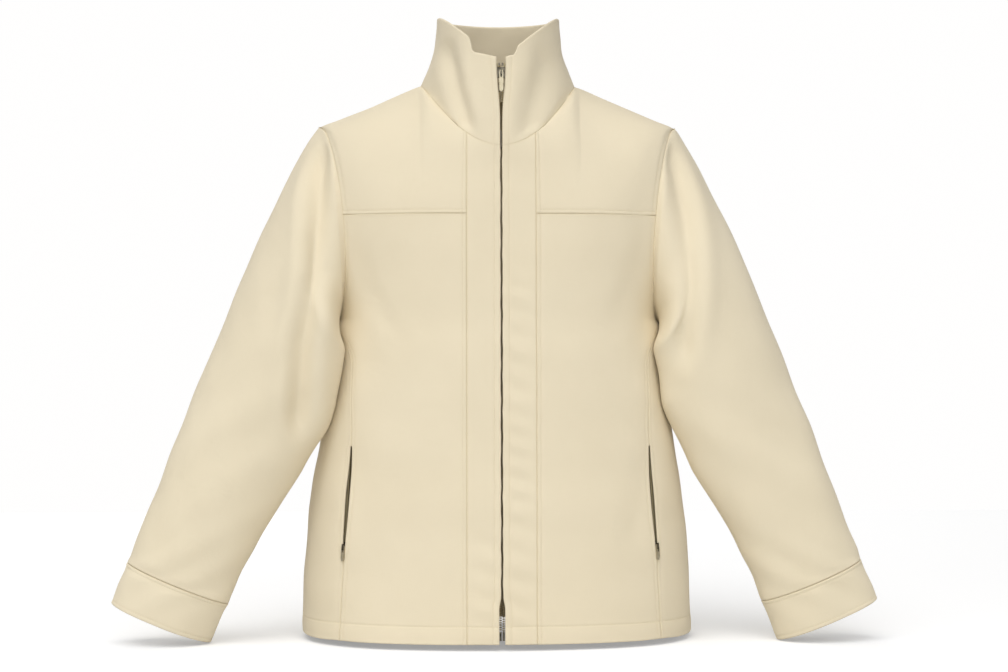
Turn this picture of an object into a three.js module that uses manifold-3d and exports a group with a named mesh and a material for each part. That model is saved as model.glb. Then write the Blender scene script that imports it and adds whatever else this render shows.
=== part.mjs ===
// A zipped cotton work jacket with a funnel collar, standing filled out as it does on a wearer.
// Millimetres. +Z is up, the front faces -Y and the wearer's left side is +X.
// Heights (z) are measured up from the hem, and the last lines move the origin to the hanging loop.
// Every fabric panel is a stretch of one smooth surface, given a thickness and a seam gap.

import * as THREE from 'three';
import { mergeVertices } from 'three/addons/utils/BufferGeometryUtils.js';
import Module from 'manifold-3d';

const wasm = await Module();
wasm.setup();

// ---------------------------------------------------------------- driving dimensions

// cloth
const CLOTH = 1.6;                 // thickness of a body panel
const BAND_EXTRA = 0.4;            // the front bands and cuffs are this much thicker
const BAND_CLOTH = CLOTH + BAND_EXTRA;
const LINING = 1.2;                // facings, pocket bags and the label backing
const SEAM_GAP = CLOTH / 4;        // clearance between two panels along a seam
const LAYER_GAP = 0.5;             // clearance between a panel and the facing behind it

// torso
const HEM_HALF_WIDTH = 228.5;
const CHEST_HALF_WIDTH = 192.5;
const TAPER_FROM = 40;
const TAPER_TO = 380;
const SECTION_POWER = 2.4;         // how square a level section of the torso is
const SIDE_Y = 6;                  // plane of the side seams and shoulder seams
const FRONT_HEM_Y = -128;
const FRONT_LEAN = 0.05;           // the front zip leans back by this much for each unit of height
const BACK_Y = 112;

// neck, shoulders and armholes
const SHOULDER_TIP_X = 211;
const SHOULDER_TIP_Z = 591;        // the jacket's height from the hem; the neck and armholes follow it
const SHOULDER_RISE = 50;          // from the shoulder tip up to the side of the neck
const NECK_HALF_WIDTH = 91;
const NECK_FRONT_DROP = 78;
const NECK_BACK_DROP = 11;
const NECK_SIDE_Z = SHOULDER_TIP_Z + SHOULDER_RISE;
const NECK_FRONT_Z = NECK_SIDE_Z - NECK_FRONT_DROP;
const NECK_BACK_Z = NECK_SIDE_Z - NECK_BACK_DROP;
const NECK_BACK_Y = 72;
const ARMHOLE_HEIGHT = 231;
const UNDERARM_Z = SHOULDER_TIP_Z - ARMHOLE_HEIGHT;
const ARMHOLE_FRONT_SCOOP = 22;    // how far the armhole cuts in at mid height, in front
const ARMHOLE_BACK_SCOOP = 14;
const ARMHOLE_FRONT_DEPTH = 68;
const ARMHOLE_BACK_DEPTH = 60;

// panels of the torso
const BAND_SEAM_X = 39.5;
const FRONT_YOKE_DROP = 106;       // from the shoulder tip down to the yoke seam
const BACK_YOKE_DROP = 71;
const FRONT_YOKE_Z = SHOULDER_TIP_Z - FRONT_YOKE_DROP;
const BACK_YOKE_Z = SHOULDER_TIP_Z - BACK_YOKE_DROP;
const SIDE_FRONT_SEAM_X = 171.3;   // side-front seam, which holds the pocket
const SIDE_FRONT_HEM_X = 184;
const SIDE_FRONT_TURN_Z = 240;
const SIDE_FRONT_TOP_SHARE = 0.18; // depth share where the side-front seam ends under the arm
const SIDE_FRONT_BEND_DROP = 45;
const SIDE_FRONT_BEND_Z = UNDERARM_Z - SIDE_FRONT_BEND_DROP;

// collar
const COLLAR_SEAM_GAP = 0.8;
const COLLAR_HALF_WIDTH = 72;
const COLLAR_MID_Y = -2;
const COLLAR_BACK_Y = 60;
const COLLAR_FRONT_HEIGHT = 99;    // above the neck seam, at the zip
const COLLAR_SIDE_HEIGHT = 78;
const COLLAR_FRONT_Z = NECK_FRONT_Z + COLLAR_FRONT_HEIGHT;
const COLLAR_TOP_Z = NECK_SIDE_Z + COLLAR_SIDE_HEIGHT;
const COLLAR_STEP = 15;            // sharp rise of the top edge beside the zip
const COLLAR_STEP_ANGLE = 26;
const COLLAR_STEP_SPREAD = 8;
const COLLAR_SLOPE_END = 100;      // the top edge keeps rising up to this angle from the zip
const COLLAR_SIDE_FLARE = 1.2;

// front slit over the zip
const SLIT_HALF = 1.1;
const SLIT_TOP_HALF = 5.2;
const SLIT_OPEN_LENGTH = 72;
const SLIT_OPENS_AT = COLLAR_FRONT_Z - SLIT_OPEN_LENGTH;

// sleeves
const ARMHOLE_GAP = 2.2;           // clearance between the armhole and the sleeve's first ring
const CUFF_OUTER = [444, -50, 40];
const CUFF_INNER = [329, -50, -7];
const SLEEVE_BULGE = 9;
const SLEEVE_HALF_DEPTH_TOP = 62;
const SLEEVE_HALF_DEPTH_CUFF = 36;
const SLEEVE_SIDE_CLEARANCE = 3.5;
const CUFF_DROP_EXTRA = 8;         // how much longer than the cuff an upper ring is, at the most
const UNDERARM_GATHER_END = 0.62;  // share of the length where the deep underarm has run out
const UNDERARM_GATHER_POWER = 1.6;
const FOREARM_SLOPE = 0.513;       // inward run of the forearm's inner line per unit of height
const FOREARM_BULGE = 7;
const FOREARM_BULGE_TOP = 190;
const SIDE_BLEND = 12;             // how gently the inner line leaves the torso's side
const SIDE_BLEND_SHARE = 0.3;
const SETTLE_END = 0.08;
const DEPTH_FROM = 0.15;
const HEAD_END = 0.3;              // share of the sleeve's length that is the soft head
const CUFF_START = 0.917;

// zips: depths are measured inward from the middle plane of the teeth
const ZIP_DEPTH = 5.4;             // from the outer face of the bands to the teeth
const TEETH_HALF_GAP = 0.6;
const TEETH_OUTER = 2.9;
const TEETH_THICKNESS = 2.0;
const TAPE_WIDTH = 12;
const TAPE_THICKNESS = 0.6;
const ZIP_TOP_MARGIN = 5;
const ZIP_BOTTOM = 4;
const STOP_HEIGHT = 3;
const BOX_HEIGHT = 10;
const SLIDER_LENGTH = 12;
const SLIDER_HALF_WIDTH = 4.3;
const SLIDER_PLATE = 1.0;
const SLIDER_CLEARANCE = 0.4;
const SLIDER_TOP_CLEARANCE = 1.5;
const WEB_HALF = 0.3;
const CROWN_HALF = 0.65;
const CROWN_HALF_LENGTH = 3.4;
const CROWN_EYE_HALF = 2.4;
const CROWN_BAR = 0.8;
const CROWN_PLAY = 0.8;            // free height for the pull inside the crown
const CROWN_STAND_OFF = 0.3;       // the crown's eye starts this far outside the cloth
const PULL_LENGTH = 24;
const PULL_HALF_WIDTH = 2.3;
const PULL_THICKNESS = 1.2;
const PULL_SHOULDER = 3;           // length of the tapered corners at both ends
const PULL_TAPER = 0.6;
const PULL_TIP_TAPER = 1;
const PULL_SLOT_LENGTH = 6.9;
const PULL_SLOT_CLEARANCE = 0.5;
const PULL_AXIS_UP = 1.2;

// pockets, in the side-front seam
const POCKET_BOTTOM_Z = 99;
const POCKET_TOP_Z = 220;
const POCKET_ZIP_DEPTH = 7;
const POCKET_SLOT_HALF = 1.3;      // extra half opening at the middle of the slot
const POCKET_TEETH_OUTER = 2.4;
const POCKET_TAPE_WIDTH = 9;
const POCKET_PULL_LENGTH = 17;
const POCKET_TAPE_OVERRUN = 6;
const POCKET_SLIDER_NARROWER = 0.6;
const POCKET_SLIDER_FROM_END = 1;
const BAG_TOP_Z = 238;
const BAG_BOTTOM_Z = 52;
const BAG_INNER_X = 62;
const BAG_FROM_SLOT = 18;
const BAG_CLEARANCE = 1.9;
const BAG_FRONT = CLOTH + BAG_CLEARANCE;
const BAG_THICKNESS = 20;
const BAG_MOUTH = 12;              // the hollow runs on past the open side by this much

// loop and label at the back of the neck
const LOOP_Y = 58;
const LOOP_RISE = 20;
const LOOP_TOP_Z = NECK_BACK_Z + LOOP_RISE;  // underside of the loop, which rests on the hook
const LOOP_HALF_SPAN = 24;
const LOOP_LEG = 16;
const LOOP_WIDTH = 8;
const LOOP_THICKNESS = 1.6;
const LOOP_SHOULDER = 6;
const FACING_WIDTH = 34;
const FACING_MARGIN = 3;           // how far a facing stays short of the hem
const FACING_TAPE_MARGIN = 1.5;    // how far the front facing stays clear of the zip tape
const COLLAR_FACING_FROM = 0.04;   // shares of the collar's height that its facing covers
const COLLAR_FACING_TO = 0.985;
const NECK_FACING_HEIGHT = 64;
const NECK_FACING_Z = NECK_BACK_Z - NECK_FACING_HEIGHT;
const NECK_FACING_ANGLE = Math.PI / 3;
const NECK_FACING_GAP = 3;
const LABEL_HALF_WIDTH = 17;
const LABEL_HEIGHT = 22;
const LABEL_DROP = 30;             // from the back neck seam down to the label
const LABEL_TOP_Z = NECK_BACK_Z - LABEL_DROP;
const LABEL_BOTTOM_Z = LABEL_TOP_Z - LABEL_HEIGHT;
const LABEL_THICKNESS = 0.5;

// ---------------------------------------------------------------- small helpers

const lerp = (a, b, t) => a + (b - a) * t;
const clamp01 = (t) => Math.min(1, Math.max(0, t));
const smooth = (t) => clamp01(t) ** 2 * (3 - 2 * clamp01(t));
const lerp3 = (a, b, t) => a.map((value, axis) => lerp(value, b[axis], t));
const degrees = (angle) => (angle * Math.PI) / 180;

function material(color, roughness, metalness = 0) {
  return new THREE.MeshStandardMaterial({ color, roughness, metalness });
}

const COTTON = material(0xe8dcc0, 0.9);
const COTTON_INNER = material(0xe0d4b6, 0.9);
const TAPE_CLOTH = material(0xb3a67e, 0.85);
const GUNMETAL = material(0x4a463c, 0.35, 0.9);
const ANTIQUE_BRASS = material(0x80704a, 0.4, 0.9);
const LABEL_CLOTH = material(0xf4f1ea, 0.8);

// ---------------------------------------------------------------- surface of the torso
// A face is the front (-1) or the back (+1) of the jacket.

const FRONT = -1;
const BACK = 1;

function sideHalfWidth(z) {
  const taper = smooth((z - TAPER_FROM) / (TAPER_TO - TAPER_FROM));
  return lerp(HEM_HALF_WIDTH, CHEST_HALF_WIDTH, taper);
}

function centreY(face, z) {
  return face === FRONT ? FRONT_HEM_Y + FRONT_LEAN * z : BACK_Y;
}

const UNDERARM_X = sideHalfWidth(UNDERARM_Z);
const ARMHOLE_MID_Z = (SHOULDER_TIP_Z + UNDERARM_Z) / 2;
const ARMHOLE_HALF_HEIGHT = (SHOULDER_TIP_Z - UNDERARM_Z) / 2;
const ARMHOLE_MID_X = (SHOULDER_TIP_X + UNDERARM_X) / 2;
const ARMHOLE_LEAN_X = (SHOULDER_TIP_X - UNDERARM_X) / 2;

// The armhole is an upright oval: rise and reach are the cosine and sine of its angle.
function armholePoint(face, z) {
  const rise = Math.min(1, Math.max(-1, (z - ARMHOLE_MID_Z) / ARMHOLE_HALF_HEIGHT));
  const reach = Math.sqrt(1 - rise * rise);
  const scoop = face === FRONT ? ARMHOLE_FRONT_SCOOP : ARMHOLE_BACK_SCOOP;
  const depth = face === FRONT ? ARMHOLE_FRONT_DEPTH : ARMHOLE_BACK_DEPTH;
  return [ARMHOLE_MID_X + ARMHOLE_LEAN_X * rise - scoop * reach, SIDE_Y + face * depth * reach, z];
}

// Depth share: 0 in the side plane, 1 at the centre front or centre back.
function edgeShare(face, z) {
  if (z <= UNDERARM_Z) return 0;
  return (armholePoint(face, z)[1] - SIDE_Y) / (centreY(face, z) - SIDE_Y);
}

// Half width of the whole level section, which the armhole cuts short.
function sectionHalfWidth(face, z) {
  if (z <= UNDERARM_Z) return sideHalfWidth(z);
  const share = edgeShare(face, z);
  return armholePoint(face, z)[0] / (1 - share ** SECTION_POWER) ** (1 / SECTION_POWER);
}

function sectionAngleOfX(face, x, z) {
  const ratio = Math.min(1, x / sectionHalfWidth(face, z));
  return Math.asin(ratio ** (SECTION_POWER / 2));
}

function sectionAngleOfShare(share) {
  return Math.acos(Math.min(1, share ** (SECTION_POWER / 2)));
}

// Point of the level section at an angle from the centre (0) to the side (a quarter turn).
function sectionPoint(face, angle, z) {
  const half = sectionHalfWidth(face, z);
  const sine = Math.sin(angle);
  const x = Math.sign(sine) * half * Math.abs(sine) ** (2 / SECTION_POWER);
  const share = Math.max(0, Math.cos(angle)) ** (2 / SECTION_POWER);
  return [x, SIDE_Y + share * (centreY(face, z) - SIDE_Y), z];
}

function angleStep(face, angle, z, distance) {
  const small = 0.001;
  const here = new THREE.Vector3(...sectionPoint(face, angle, z));
  const there = new THREE.Vector3(...sectionPoint(face, angle - small, z));
  return (distance * small) / here.distanceTo(there);
}

// Top of the vertical line that reaches half breadth x: on the neck seam or the shoulder seam.
function topOfLine(face, x) {
  if (x >= NECK_HALF_WIDTH) {
    const along = (x - NECK_HALF_WIDTH) / (SHOULDER_TIP_X - NECK_HALF_WIDTH);
    return { y: SIDE_Y, z: lerp(NECK_SIDE_Z, SHOULDER_TIP_Z, along) };
  }
  const ratio = x / NECK_HALF_WIDTH;
  const middleY = face === FRONT ? centreY(FRONT, NECK_FRONT_Z) : NECK_BACK_Y;
  const middleZ = face === FRONT ? NECK_FRONT_Z : NECK_BACK_Z;
  return {
    y: lerp(SIDE_Y, middleY, Math.sqrt(1 - ratio * ratio)),
    z: lerp(middleZ, NECK_SIDE_Z, ratio * ratio),
  };
}

// Above the yoke seam the cloth rounds over towards the neck and the shoulder seam.
function roundedPoint(face, x, z, top, nearArmhole = 0) {
  const start = face === FRONT ? FRONT_YOKE_Z : BACK_YOKE_Z;
  const angle = sectionAngleOfX(face, Math.abs(x), z);
  const y = sectionPoint(face, angle, z)[1];
  const climb = clamp01((z - start) / (top.z - start));
  const turn = (1 - Math.sqrt(1 - climb * climb)) ** (1 + 3 * nearArmhole ** 4);
  return [x, lerp(y, top.y, turn), z];
}

function sideFrontShare(z) {
  const turn = clamp01((SIDE_FRONT_TURN_Z - z) / SIDE_FRONT_TURN_Z);
  const x = lerp(SIDE_FRONT_SEAM_X, SIDE_FRONT_HEM_X, turn);
  const power = SECTION_POWER;
  const share = (1 - (x / sideHalfWidth(z)) ** power) ** (1 / power);
  const bend = clamp01((z - SIDE_FRONT_BEND_Z) / (SIDE_FRONT_TOP_Z - SIDE_FRONT_BEND_Z)) ** 2;
  return lerp(share, SIDE_FRONT_TOP_SHARE, bend);
}

// Height of the armhole's lower edge at a share of its reach.
function armholeLowZ(reach) {
  return ARMHOLE_MID_Z - ARMHOLE_HALF_HEIGHT * Math.sqrt(1 - reach * reach);
}

const SIDE_FRONT_TOP_REACH = ((SIDE_Y - centreY(FRONT, UNDERARM_Z)) * SIDE_FRONT_TOP_SHARE)
  / ARMHOLE_FRONT_DEPTH;
const SIDE_FRONT_TOP_Z = armholeLowZ(SIDE_FRONT_TOP_REACH);

function pocketSlotHalf(z) {
  const along = (z - POCKET_BOTTOM_Z) / (POCKET_TOP_Z - POCKET_BOTTOM_Z);
  if (along <= 0 || along >= 1) return SEAM_GAP / 2;
  return SLIT_HALF + POCKET_SLOT_HALF * Math.sin(Math.PI * along);
}

// ---------------------------------------------------------------- solids from surfaces

function geometryOf(points, triangles) {
  const geometry = new THREE.BufferGeometry();
  geometry.setAttribute('position', new THREE.Float32BufferAttribute(points.flat(), 3));
  geometry.setIndex(triangles);
  return geometry;
}

function surfaceNormal(surface, u, v) {
  const small = 0.002;
  const uLow = Math.max(0, u - small);
  const uHigh = Math.min(1, u + small);
  const vLow = Math.max(0, v - small);
  const vHigh = Math.min(1, v + small);
  const along = new THREE.Vector3(...surface(uHigh, v)).sub(new THREE.Vector3(...surface(uLow, v)));
  const up = new THREE.Vector3(...surface(u, vHigh)).sub(new THREE.Vector3(...surface(u, vLow)));
  return along.cross(up).normalize();
}

// A sheet with a thickness: the surface pushed in by `near` is its outer face and by `far` its inner.
// The cross product of the u and v directions points out of the jacket. A ring closes on itself in u.
function sheetSolid(surface, { nu, nv, near = 0, far = CLOTH, ring = false }) {
  const columns = ring ? nu : nu + 1;
  const points = [];
  for (const depth of [near, far]) {
    for (let j = 0; j <= nv; j++) {
      for (let i = 0; i < columns; i++) {
        const point = surface(i / nu, j / nv);
        const normal = surfaceNormal(surface, i / nu, j / nv);
        points.push([
          point[0] - normal.x * depth,
          point[1] - normal.y * depth,
          point[2] - normal.z * depth,
        ]);
      }
    }
  }
  const inner = columns * (nv + 1);
  const at = (i, j, side) => (i % columns) + j * columns + side * inner;
  const triangles = [];
  const quad = (a, b, c, d) => triangles.push(a, b, c, a, c, d);
  for (let j = 0; j < nv; j++) {
    for (let i = 0; i < nu; i++) {
      quad(at(i, j, 0), at(i + 1, j, 0), at(i + 1, j + 1, 0), at(i, j + 1, 0));
      quad(at(i, j, 1), at(i, j + 1, 1), at(i + 1, j + 1, 1), at(i + 1, j, 1));
    }
    if (!ring) {
      quad(at(0, j, 0), at(0, j + 1, 0), at(0, j + 1, 1), at(0, j, 1));
      quad(at(nu, j, 0), at(nu, j, 1), at(nu, j + 1, 1), at(nu, j + 1, 0));
    }
  }
  for (let i = 0; i < nu; i++) {
    quad(at(i, 0, 0), at(i, 0, 1), at(i + 1, 0, 1), at(i + 1, 0, 0));
    quad(at(i, nv, 0), at(i + 1, nv, 0), at(i + 1, nv, 1), at(i, nv, 1));
  }
  return geometryOf(points, triangles);
}

function mirrored(geometry) {
  const copy = geometry.clone().scale(-1, 1, 1);
  const index = Array.from(copy.index.array);
  for (let i = 0; i < index.length; i += 3) {
    [index[i + 1], index[i + 2]] = [index[i + 2], index[i + 1]];
  }
  copy.setIndex(index);
  return copy;
}

function bare(geometry) {
  const copy = geometry.clone();
  for (const name of Object.keys(copy.attributes)) {
    if (name !== 'position') copy.deleteAttribute(name);
  }
  return mergeVertices(copy, 1e-4);
}

function toManifold(geometry) {
  const merged = bare(geometry);
  return new wasm.Manifold(new wasm.Mesh({
    numProp: 3,
    vertProperties: new Float32Array(merged.attributes.position.array),
    triVerts: new Uint32Array(merged.index.array),
  }));
}

function fromManifold(solid) {
  const mesh = solid.getMesh();
  const geometry = new THREE.BufferGeometry();
  geometry.setAttribute('position', new THREE.BufferAttribute(mesh.vertProperties, 3));
  geometry.setIndex(Array.from(mesh.triVerts));
  return geometry;
}

function outline(points) {
  const shape = new THREE.Shape();
  shape.moveTo(...points[0]);
  for (const point of points.slice(1)) shape.lineTo(...point);
  shape.closePath();
  return shape;
}

function extrude(shape, length) {
  const geometry = new THREE.ExtrudeGeometry(shape, { depth: length, bevelEnabled: false });
  return bare(geometry);
}

// ---------------------------------------------------------------- the assembly

const jacket = new THREE.Group();
const hung = new THREE.Group();
hung.position.set(0, -LOOP_Y, -LOOP_TOP_Z);
jacket.add(hung);

function add(name, geometry, finish, parent = hung) {
  const mesh = new THREE.Mesh(geometry, finish);
  mesh.name = name;
  parent.add(mesh);
  return mesh;
}

// A piece made for the wearer's left and its mirror image for the right.
function addPair(name, geometry, finish) {
  add(`${name}_left`, geometry, finish);
  add(`${name}_right`, mirrored(geometry), finish);
}

// ---------------------------------------------------------------- torso panels

// Rows of a full-height front strip: even up to the yoke seam, then closer together to the neck.
const NECK_ROWS = 6;
const STRIP_ROWS = 8 + NECK_ROWS;
const STRIP_TURN = 1 - NECK_ROWS / STRIP_ROWS;

function stripHeight(v, from, to) {
  if (v <= STRIP_TURN) return lerp(from, FRONT_YOKE_Z, v / STRIP_TURN);
  const climb = (v - STRIP_TURN) / (1 - STRIP_TURN);
  return lerp(FRONT_YOKE_Z, to, Math.sin((climb * Math.PI) / 2));
}

function frontBand(u, v) {
  const x = lerp(SLIT_HALF, BAND_SEAM_X - SEAM_GAP / 2, u);
  const top = topOfLine(FRONT, x);
  top.z -= SEAM_GAP / 2;
  return roundedPoint(FRONT, x, stripHeight(v, 0, top.z), top);
}

const LOWER_ROWS = 12;
const UPPER_ROWS = 4;

// Rows of the front panel: the lower ones match the side panel's rows along their shared seam.
function frontPanelHeight(v) {
  const row = v * (LOWER_ROWS + UPPER_ROWS);
  if (row <= LOWER_ROWS) return (row / LOWER_ROWS) * SIDE_FRONT_TOP_Z;
  return lerp(SIDE_FRONT_TOP_Z, FRONT_YOKE_Z - SEAM_GAP / 2, (row - LOWER_ROWS) / UPPER_ROWS);
}

function frontPanelOuterAngle(z) {
  const share = z < SIDE_FRONT_TOP_Z ? sideFrontShare(z) : edgeShare(FRONT, z);
  const angle = sectionAngleOfShare(share);
  return angle - angleStep(FRONT, angle, z, pocketSlotHalf(z));
}

function frontPanel(u, v) {
  const z = frontPanelHeight(v);
  const inner = sectionAngleOfX(FRONT, BAND_SEAM_X + SEAM_GAP / 2, z);
  return sectionPoint(FRONT, lerp(inner, frontPanelOuterAngle(z), u), z);
}

function sidePanel(u, v) {
  const seamZ = v * SIDE_FRONT_TOP_Z;
  const seamShare = sideFrontShare(seamZ);
  const seamAngle = sectionAngleOfShare(seamShare);
  const start = seamAngle + angleStep(FRONT, seamAngle, seamZ, pocketSlotHalf(seamZ));
  const startShare = Math.cos(start) ** (2 / SECTION_POWER);
  const endShare = SEAM_GAP / (SIDE_Y - centreY(FRONT, seamZ));
  const z = v * armholeLowZ(SIDE_FRONT_TOP_REACH * (1 - u));
  return sectionPoint(FRONT, sectionAngleOfShare(lerp(startShare, endShare, u)), z);
}

const BACK_UPPER_ROWS = 6;

function backPanelHeight(v) {
  const row = v * (LOWER_ROWS + BACK_UPPER_ROWS);
  if (row <= LOWER_ROWS) return (row / LOWER_ROWS) * UNDERARM_Z;
  const climb = (row - LOWER_ROWS) / BACK_UPPER_ROWS;
  return lerp(UNDERARM_Z, BACK_YOKE_Z - SEAM_GAP / 2, 1 - Math.cos((climb * Math.PI) / 2));
}

function backPanel(u, v) {
  const z = backPanelHeight(v);
  const seamShare = SEAM_GAP / (BACK_Y - SIDE_Y);
  const edge = sectionAngleOfShare(Math.max(edgeShare(BACK, z), seamShare));
  return sectionPoint(BACK, lerp(edge, -edge, u), z);
}

// A yoke's lines run up to the neck seam for the first part of its breadth, then to the shoulder.
const YOKE_NECK_PART = 0.5;

function yokePoint(face, startX, startZ, breadth, v) {
  const climb = Math.sin((v * Math.PI) / 2);
  const onNeck = breadth < YOKE_NECK_PART;
  const startAngle = Math.asin(startX / NECK_HALF_WIDTH);
  const neckAngle = lerp(startAngle, Math.PI / 2, breadth / YOKE_NECK_PART);
  const across = (breadth - YOKE_NECK_PART) / (1 - YOKE_NECK_PART);
  const topX = onNeck
    ? NECK_HALF_WIDTH * Math.sin(neckAngle)
    : lerp(NECK_HALF_WIDTH, SHOULDER_TIP_X, across);
  const top = topOfLine(face, topX);
  const topZ = top.z - (onNeck ? SEAM_GAP / 2 : 0);
  const z = lerp(startZ, topZ, climb);
  const x = onNeck ? topX : lerp(NECK_HALF_WIDTH, armholePoint(face, z)[0] - SEAM_GAP, across);
  const seamY = top.y + face * (onNeck ? 0 : SEAM_GAP);
  return roundedPoint(face, x, z, { y: seamY, z: topZ }, onNeck ? 0 : across);
}

function frontYoke(u, v) {
  return yokePoint(FRONT, BAND_SEAM_X + SEAM_GAP / 2, FRONT_YOKE_Z + SEAM_GAP / 2, u, v);
}

function backYoke(u, v) {
  const breadth = 1 - 2 * u;
  const [x, y, z] = yokePoint(BACK, 0, BACK_YOKE_Z + SEAM_GAP / 2, Math.abs(breadth), v);
  return [Math.sign(breadth) * x, y, z];
}

const FACING_FROM_ZIP = TEETH_OUTER + TAPE_WIDTH + FACING_TAPE_MARGIN;

function frontFacing(u, v) {
  const x = lerp(FACING_FROM_ZIP, FACING_FROM_ZIP + FACING_WIDTH, u);
  const top = topOfLine(FRONT, x);
  return roundedPoint(FRONT, x, stripHeight(v, FACING_MARGIN, top.z - 2 * FACING_MARGIN), top);
}

// The facing follows the yoke's own lines, from its lower edge up to just below the neck seam.
function backNeckFacing(u, v) {
  const x = NECK_HALF_WIDTH * Math.sin(lerp(NECK_FACING_ANGLE, -NECK_FACING_ANGLE, u));
  const top = topOfLine(BACK, Math.abs(x));
  const height = top.z - FACING_MARGIN - BACK_YOKE_Z;
  const low = Math.asin((NECK_FACING_Z - BACK_YOKE_Z) / height);
  const z = BACK_YOKE_Z + height * Math.sin(lerp(low, Math.PI / 2, v));
  return roundedPoint(BACK, x, z, top);
}

function labelFace(u, v) {
  const x = lerp(LABEL_HALF_WIDTH, -LABEL_HALF_WIDTH, u);
  return roundedPoint(BACK, x, lerp(LABEL_BOTTOM_Z, LABEL_TOP_Z, v), topOfLine(BACK, Math.abs(x)));
}

// ---------------------------------------------------------------- collar

function slitHalf(z) {
  return lerp(SLIT_HALF, SLIT_TOP_HALF, smooth((z - SLIT_OPENS_AT) / (COLLAR_FRONT_Z - SLIT_OPENS_AT)));
}

// The collar's plan angle is 0 at the zip, a quarter turn at the side and a half turn at the back.
function collarSeam(angle) {
  const x = NECK_HALF_WIDTH * Math.sin(angle);
  const face = Math.cos(angle) > 0 ? FRONT : BACK;
  const top = topOfLine(face, Math.min(Math.abs(x), NECK_HALF_WIDTH - 1e-6));
  return [x, top.y, top.z];
}

function collarTop(angle) {
  const turn = Math.abs(((angle + Math.PI) % (2 * Math.PI)) - Math.PI);
  const front = Math.cos(turn) > 0;
  const middleY = front ? centreY(FRONT, COLLAR_FRONT_Z) : COLLAR_BACK_Y;
  const y = lerp(COLLAR_MID_Y, middleY, Math.abs(Math.cos(turn)));
  const stepAngle = degrees(COLLAR_STEP_ANGLE);
  const slope = COLLAR_TOP_Z - COLLAR_FRONT_Z - COLLAR_STEP;
  const step = COLLAR_STEP * smooth((turn - stepAngle) / degrees(COLLAR_STEP_SPREAD) + 0.5);
  const rise = slope * smooth(turn / degrees(COLLAR_SLOPE_END)) + step;
  return [COLLAR_HALF_WIDTH * Math.sin(angle), y, COLLAR_FRONT_Z + rise];
}

function collarPoint(angle, height) {
  const seam = collarSeam(angle);
  const top = collarTop(angle);
  const flare = 1 + COLLAR_SIDE_FLARE * Math.sin(angle) ** 2;
  const spread = (1 - height) ** flare;
  return [
    lerp(top[0], seam[0], spread),
    lerp(top[1], seam[1], spread),
    lerp(seam[2] + COLLAR_SEAM_GAP, top[2], height),
  ];
}

function collarRing(u, v, clearHalf) {
  const edge = Math.asin(clearHalf / lerp(NECK_HALF_WIDTH, COLLAR_HALF_WIDTH, v));
  return collarPoint(lerp(edge, 2 * Math.PI - edge, u), v);
}

function collarOuter(u, v) {
  return collarRing(u, v, slitHalf(lerp(NECK_FRONT_Z, COLLAR_FRONT_Z, v)));
}

function collarFacing(u, v) {
  return collarRing(u, lerp(COLLAR_FACING_FROM, COLLAR_FACING_TO, v), FACING_FROM_ZIP);
}

// ---------------------------------------------------------------- sleeves

const SLEEVE_OUT = new THREE.Vector3(0.92, 0, 0.4);

function sleeveOuterLine(d) {
  const straight = lerp3([SHOULDER_TIP_X, SIDE_Y, SHOULDER_TIP_Z], CUFF_OUTER, d);
  const bulge = SLEEVE_BULGE * Math.sin(Math.PI * Math.sqrt(d));
  return [straight[0] + SLEEVE_OUT.x * bulge, straight[1], straight[2] + SLEEVE_OUT.z * bulge];
}

// The inner line starts under the arm, lies down the side of the torso and then leaves it.
function sleeveInnerLine(d) {
  const outer = sleeveOuterLine(d);
  const squareDrop = CUFF_OUTER[2] - CUFF_INNER[2] + CUFF_DROP_EXTRA * (1 - d);
  const startDrop = SHOULDER_TIP_Z - UNDERARM_Z - squareDrop;
  const gather = clamp01(1 - d / UNDERARM_GATHER_END) ** UNDERARM_GATHER_POWER;
  const z = outer[2] - squareDrop - startDrop * gather;
  const alongSide = sideHalfWidth(z) + SLEEVE_SIDE_CLEARANCE;
  const bulge = FOREARM_BULGE * Math.sin(Math.PI * clamp01(z / FOREARM_BULGE_TOP));
  const free = CUFF_INNER[0] - FOREARM_SLOPE * (z - CUFF_INNER[2]) + bulge;
  const round = SIDE_BLEND * SIDE_BLEND_SHARE * Math.exp(-Math.abs(alongSide - free) / SIDE_BLEND);
  const x = Math.max(alongSide, free) + round;
  const settle = smooth(d / SETTLE_END);
  return [lerp(UNDERARM_X, x, settle), lerp(SIDE_Y, CUFF_INNER[1], d), z];
}

// Around the sleeve, 0 is the outer line, a quarter turn the front and a half turn the inner line.
function sleevePoint(d, angle) {
  const outer = sleeveOuterLine(d);
  const inner = sleeveInnerLine(d);
  const settle = smooth(d / HEAD_END);
  const narrowing = clamp01((d - DEPTH_FROM) / (1 - DEPTH_FROM));
  const depth = lerp(SLEEVE_HALF_DEPTH_TOP, SLEEVE_HALF_DEPTH_CUFF, narrowing);
  const front = Math.sin(angle) > 0;
  const scoop = (front ? ARMHOLE_FRONT_SCOOP : ARMHOLE_BACK_SCOOP) * (1 - settle);
  const startDepth = front ? ARMHOLE_FRONT_DEPTH : ARMHOLE_BACK_DEPTH;
  const reach = Math.abs(Math.sin(angle));
  const along = (1 + Math.cos(angle)) / 2;
  const point = lerp3(inner, outer, along);
  point[0] += ARMHOLE_GAP - scoop * reach;
  point[1] += (front ? -1 : 1) * lerp(startDepth, depth, settle) * reach;
  return point;
}

function sleeveTube(from, to) {
  return (u, v) => sleevePoint(lerp(from, to, v), u * 2 * Math.PI);
}

const SLEEVE_LENGTH = Math.hypot(
  CUFF_OUTER[0] - SHOULDER_TIP_X,
  CUFF_OUTER[1] - SIDE_Y,
  CUFF_OUTER[2] - SHOULDER_TIP_Z,
);
const RING_GAP = SEAM_GAP / SLEEVE_LENGTH;
const SLEEVE_SIDES = 24;
const SLEEVE_ROWS = 7;

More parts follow.
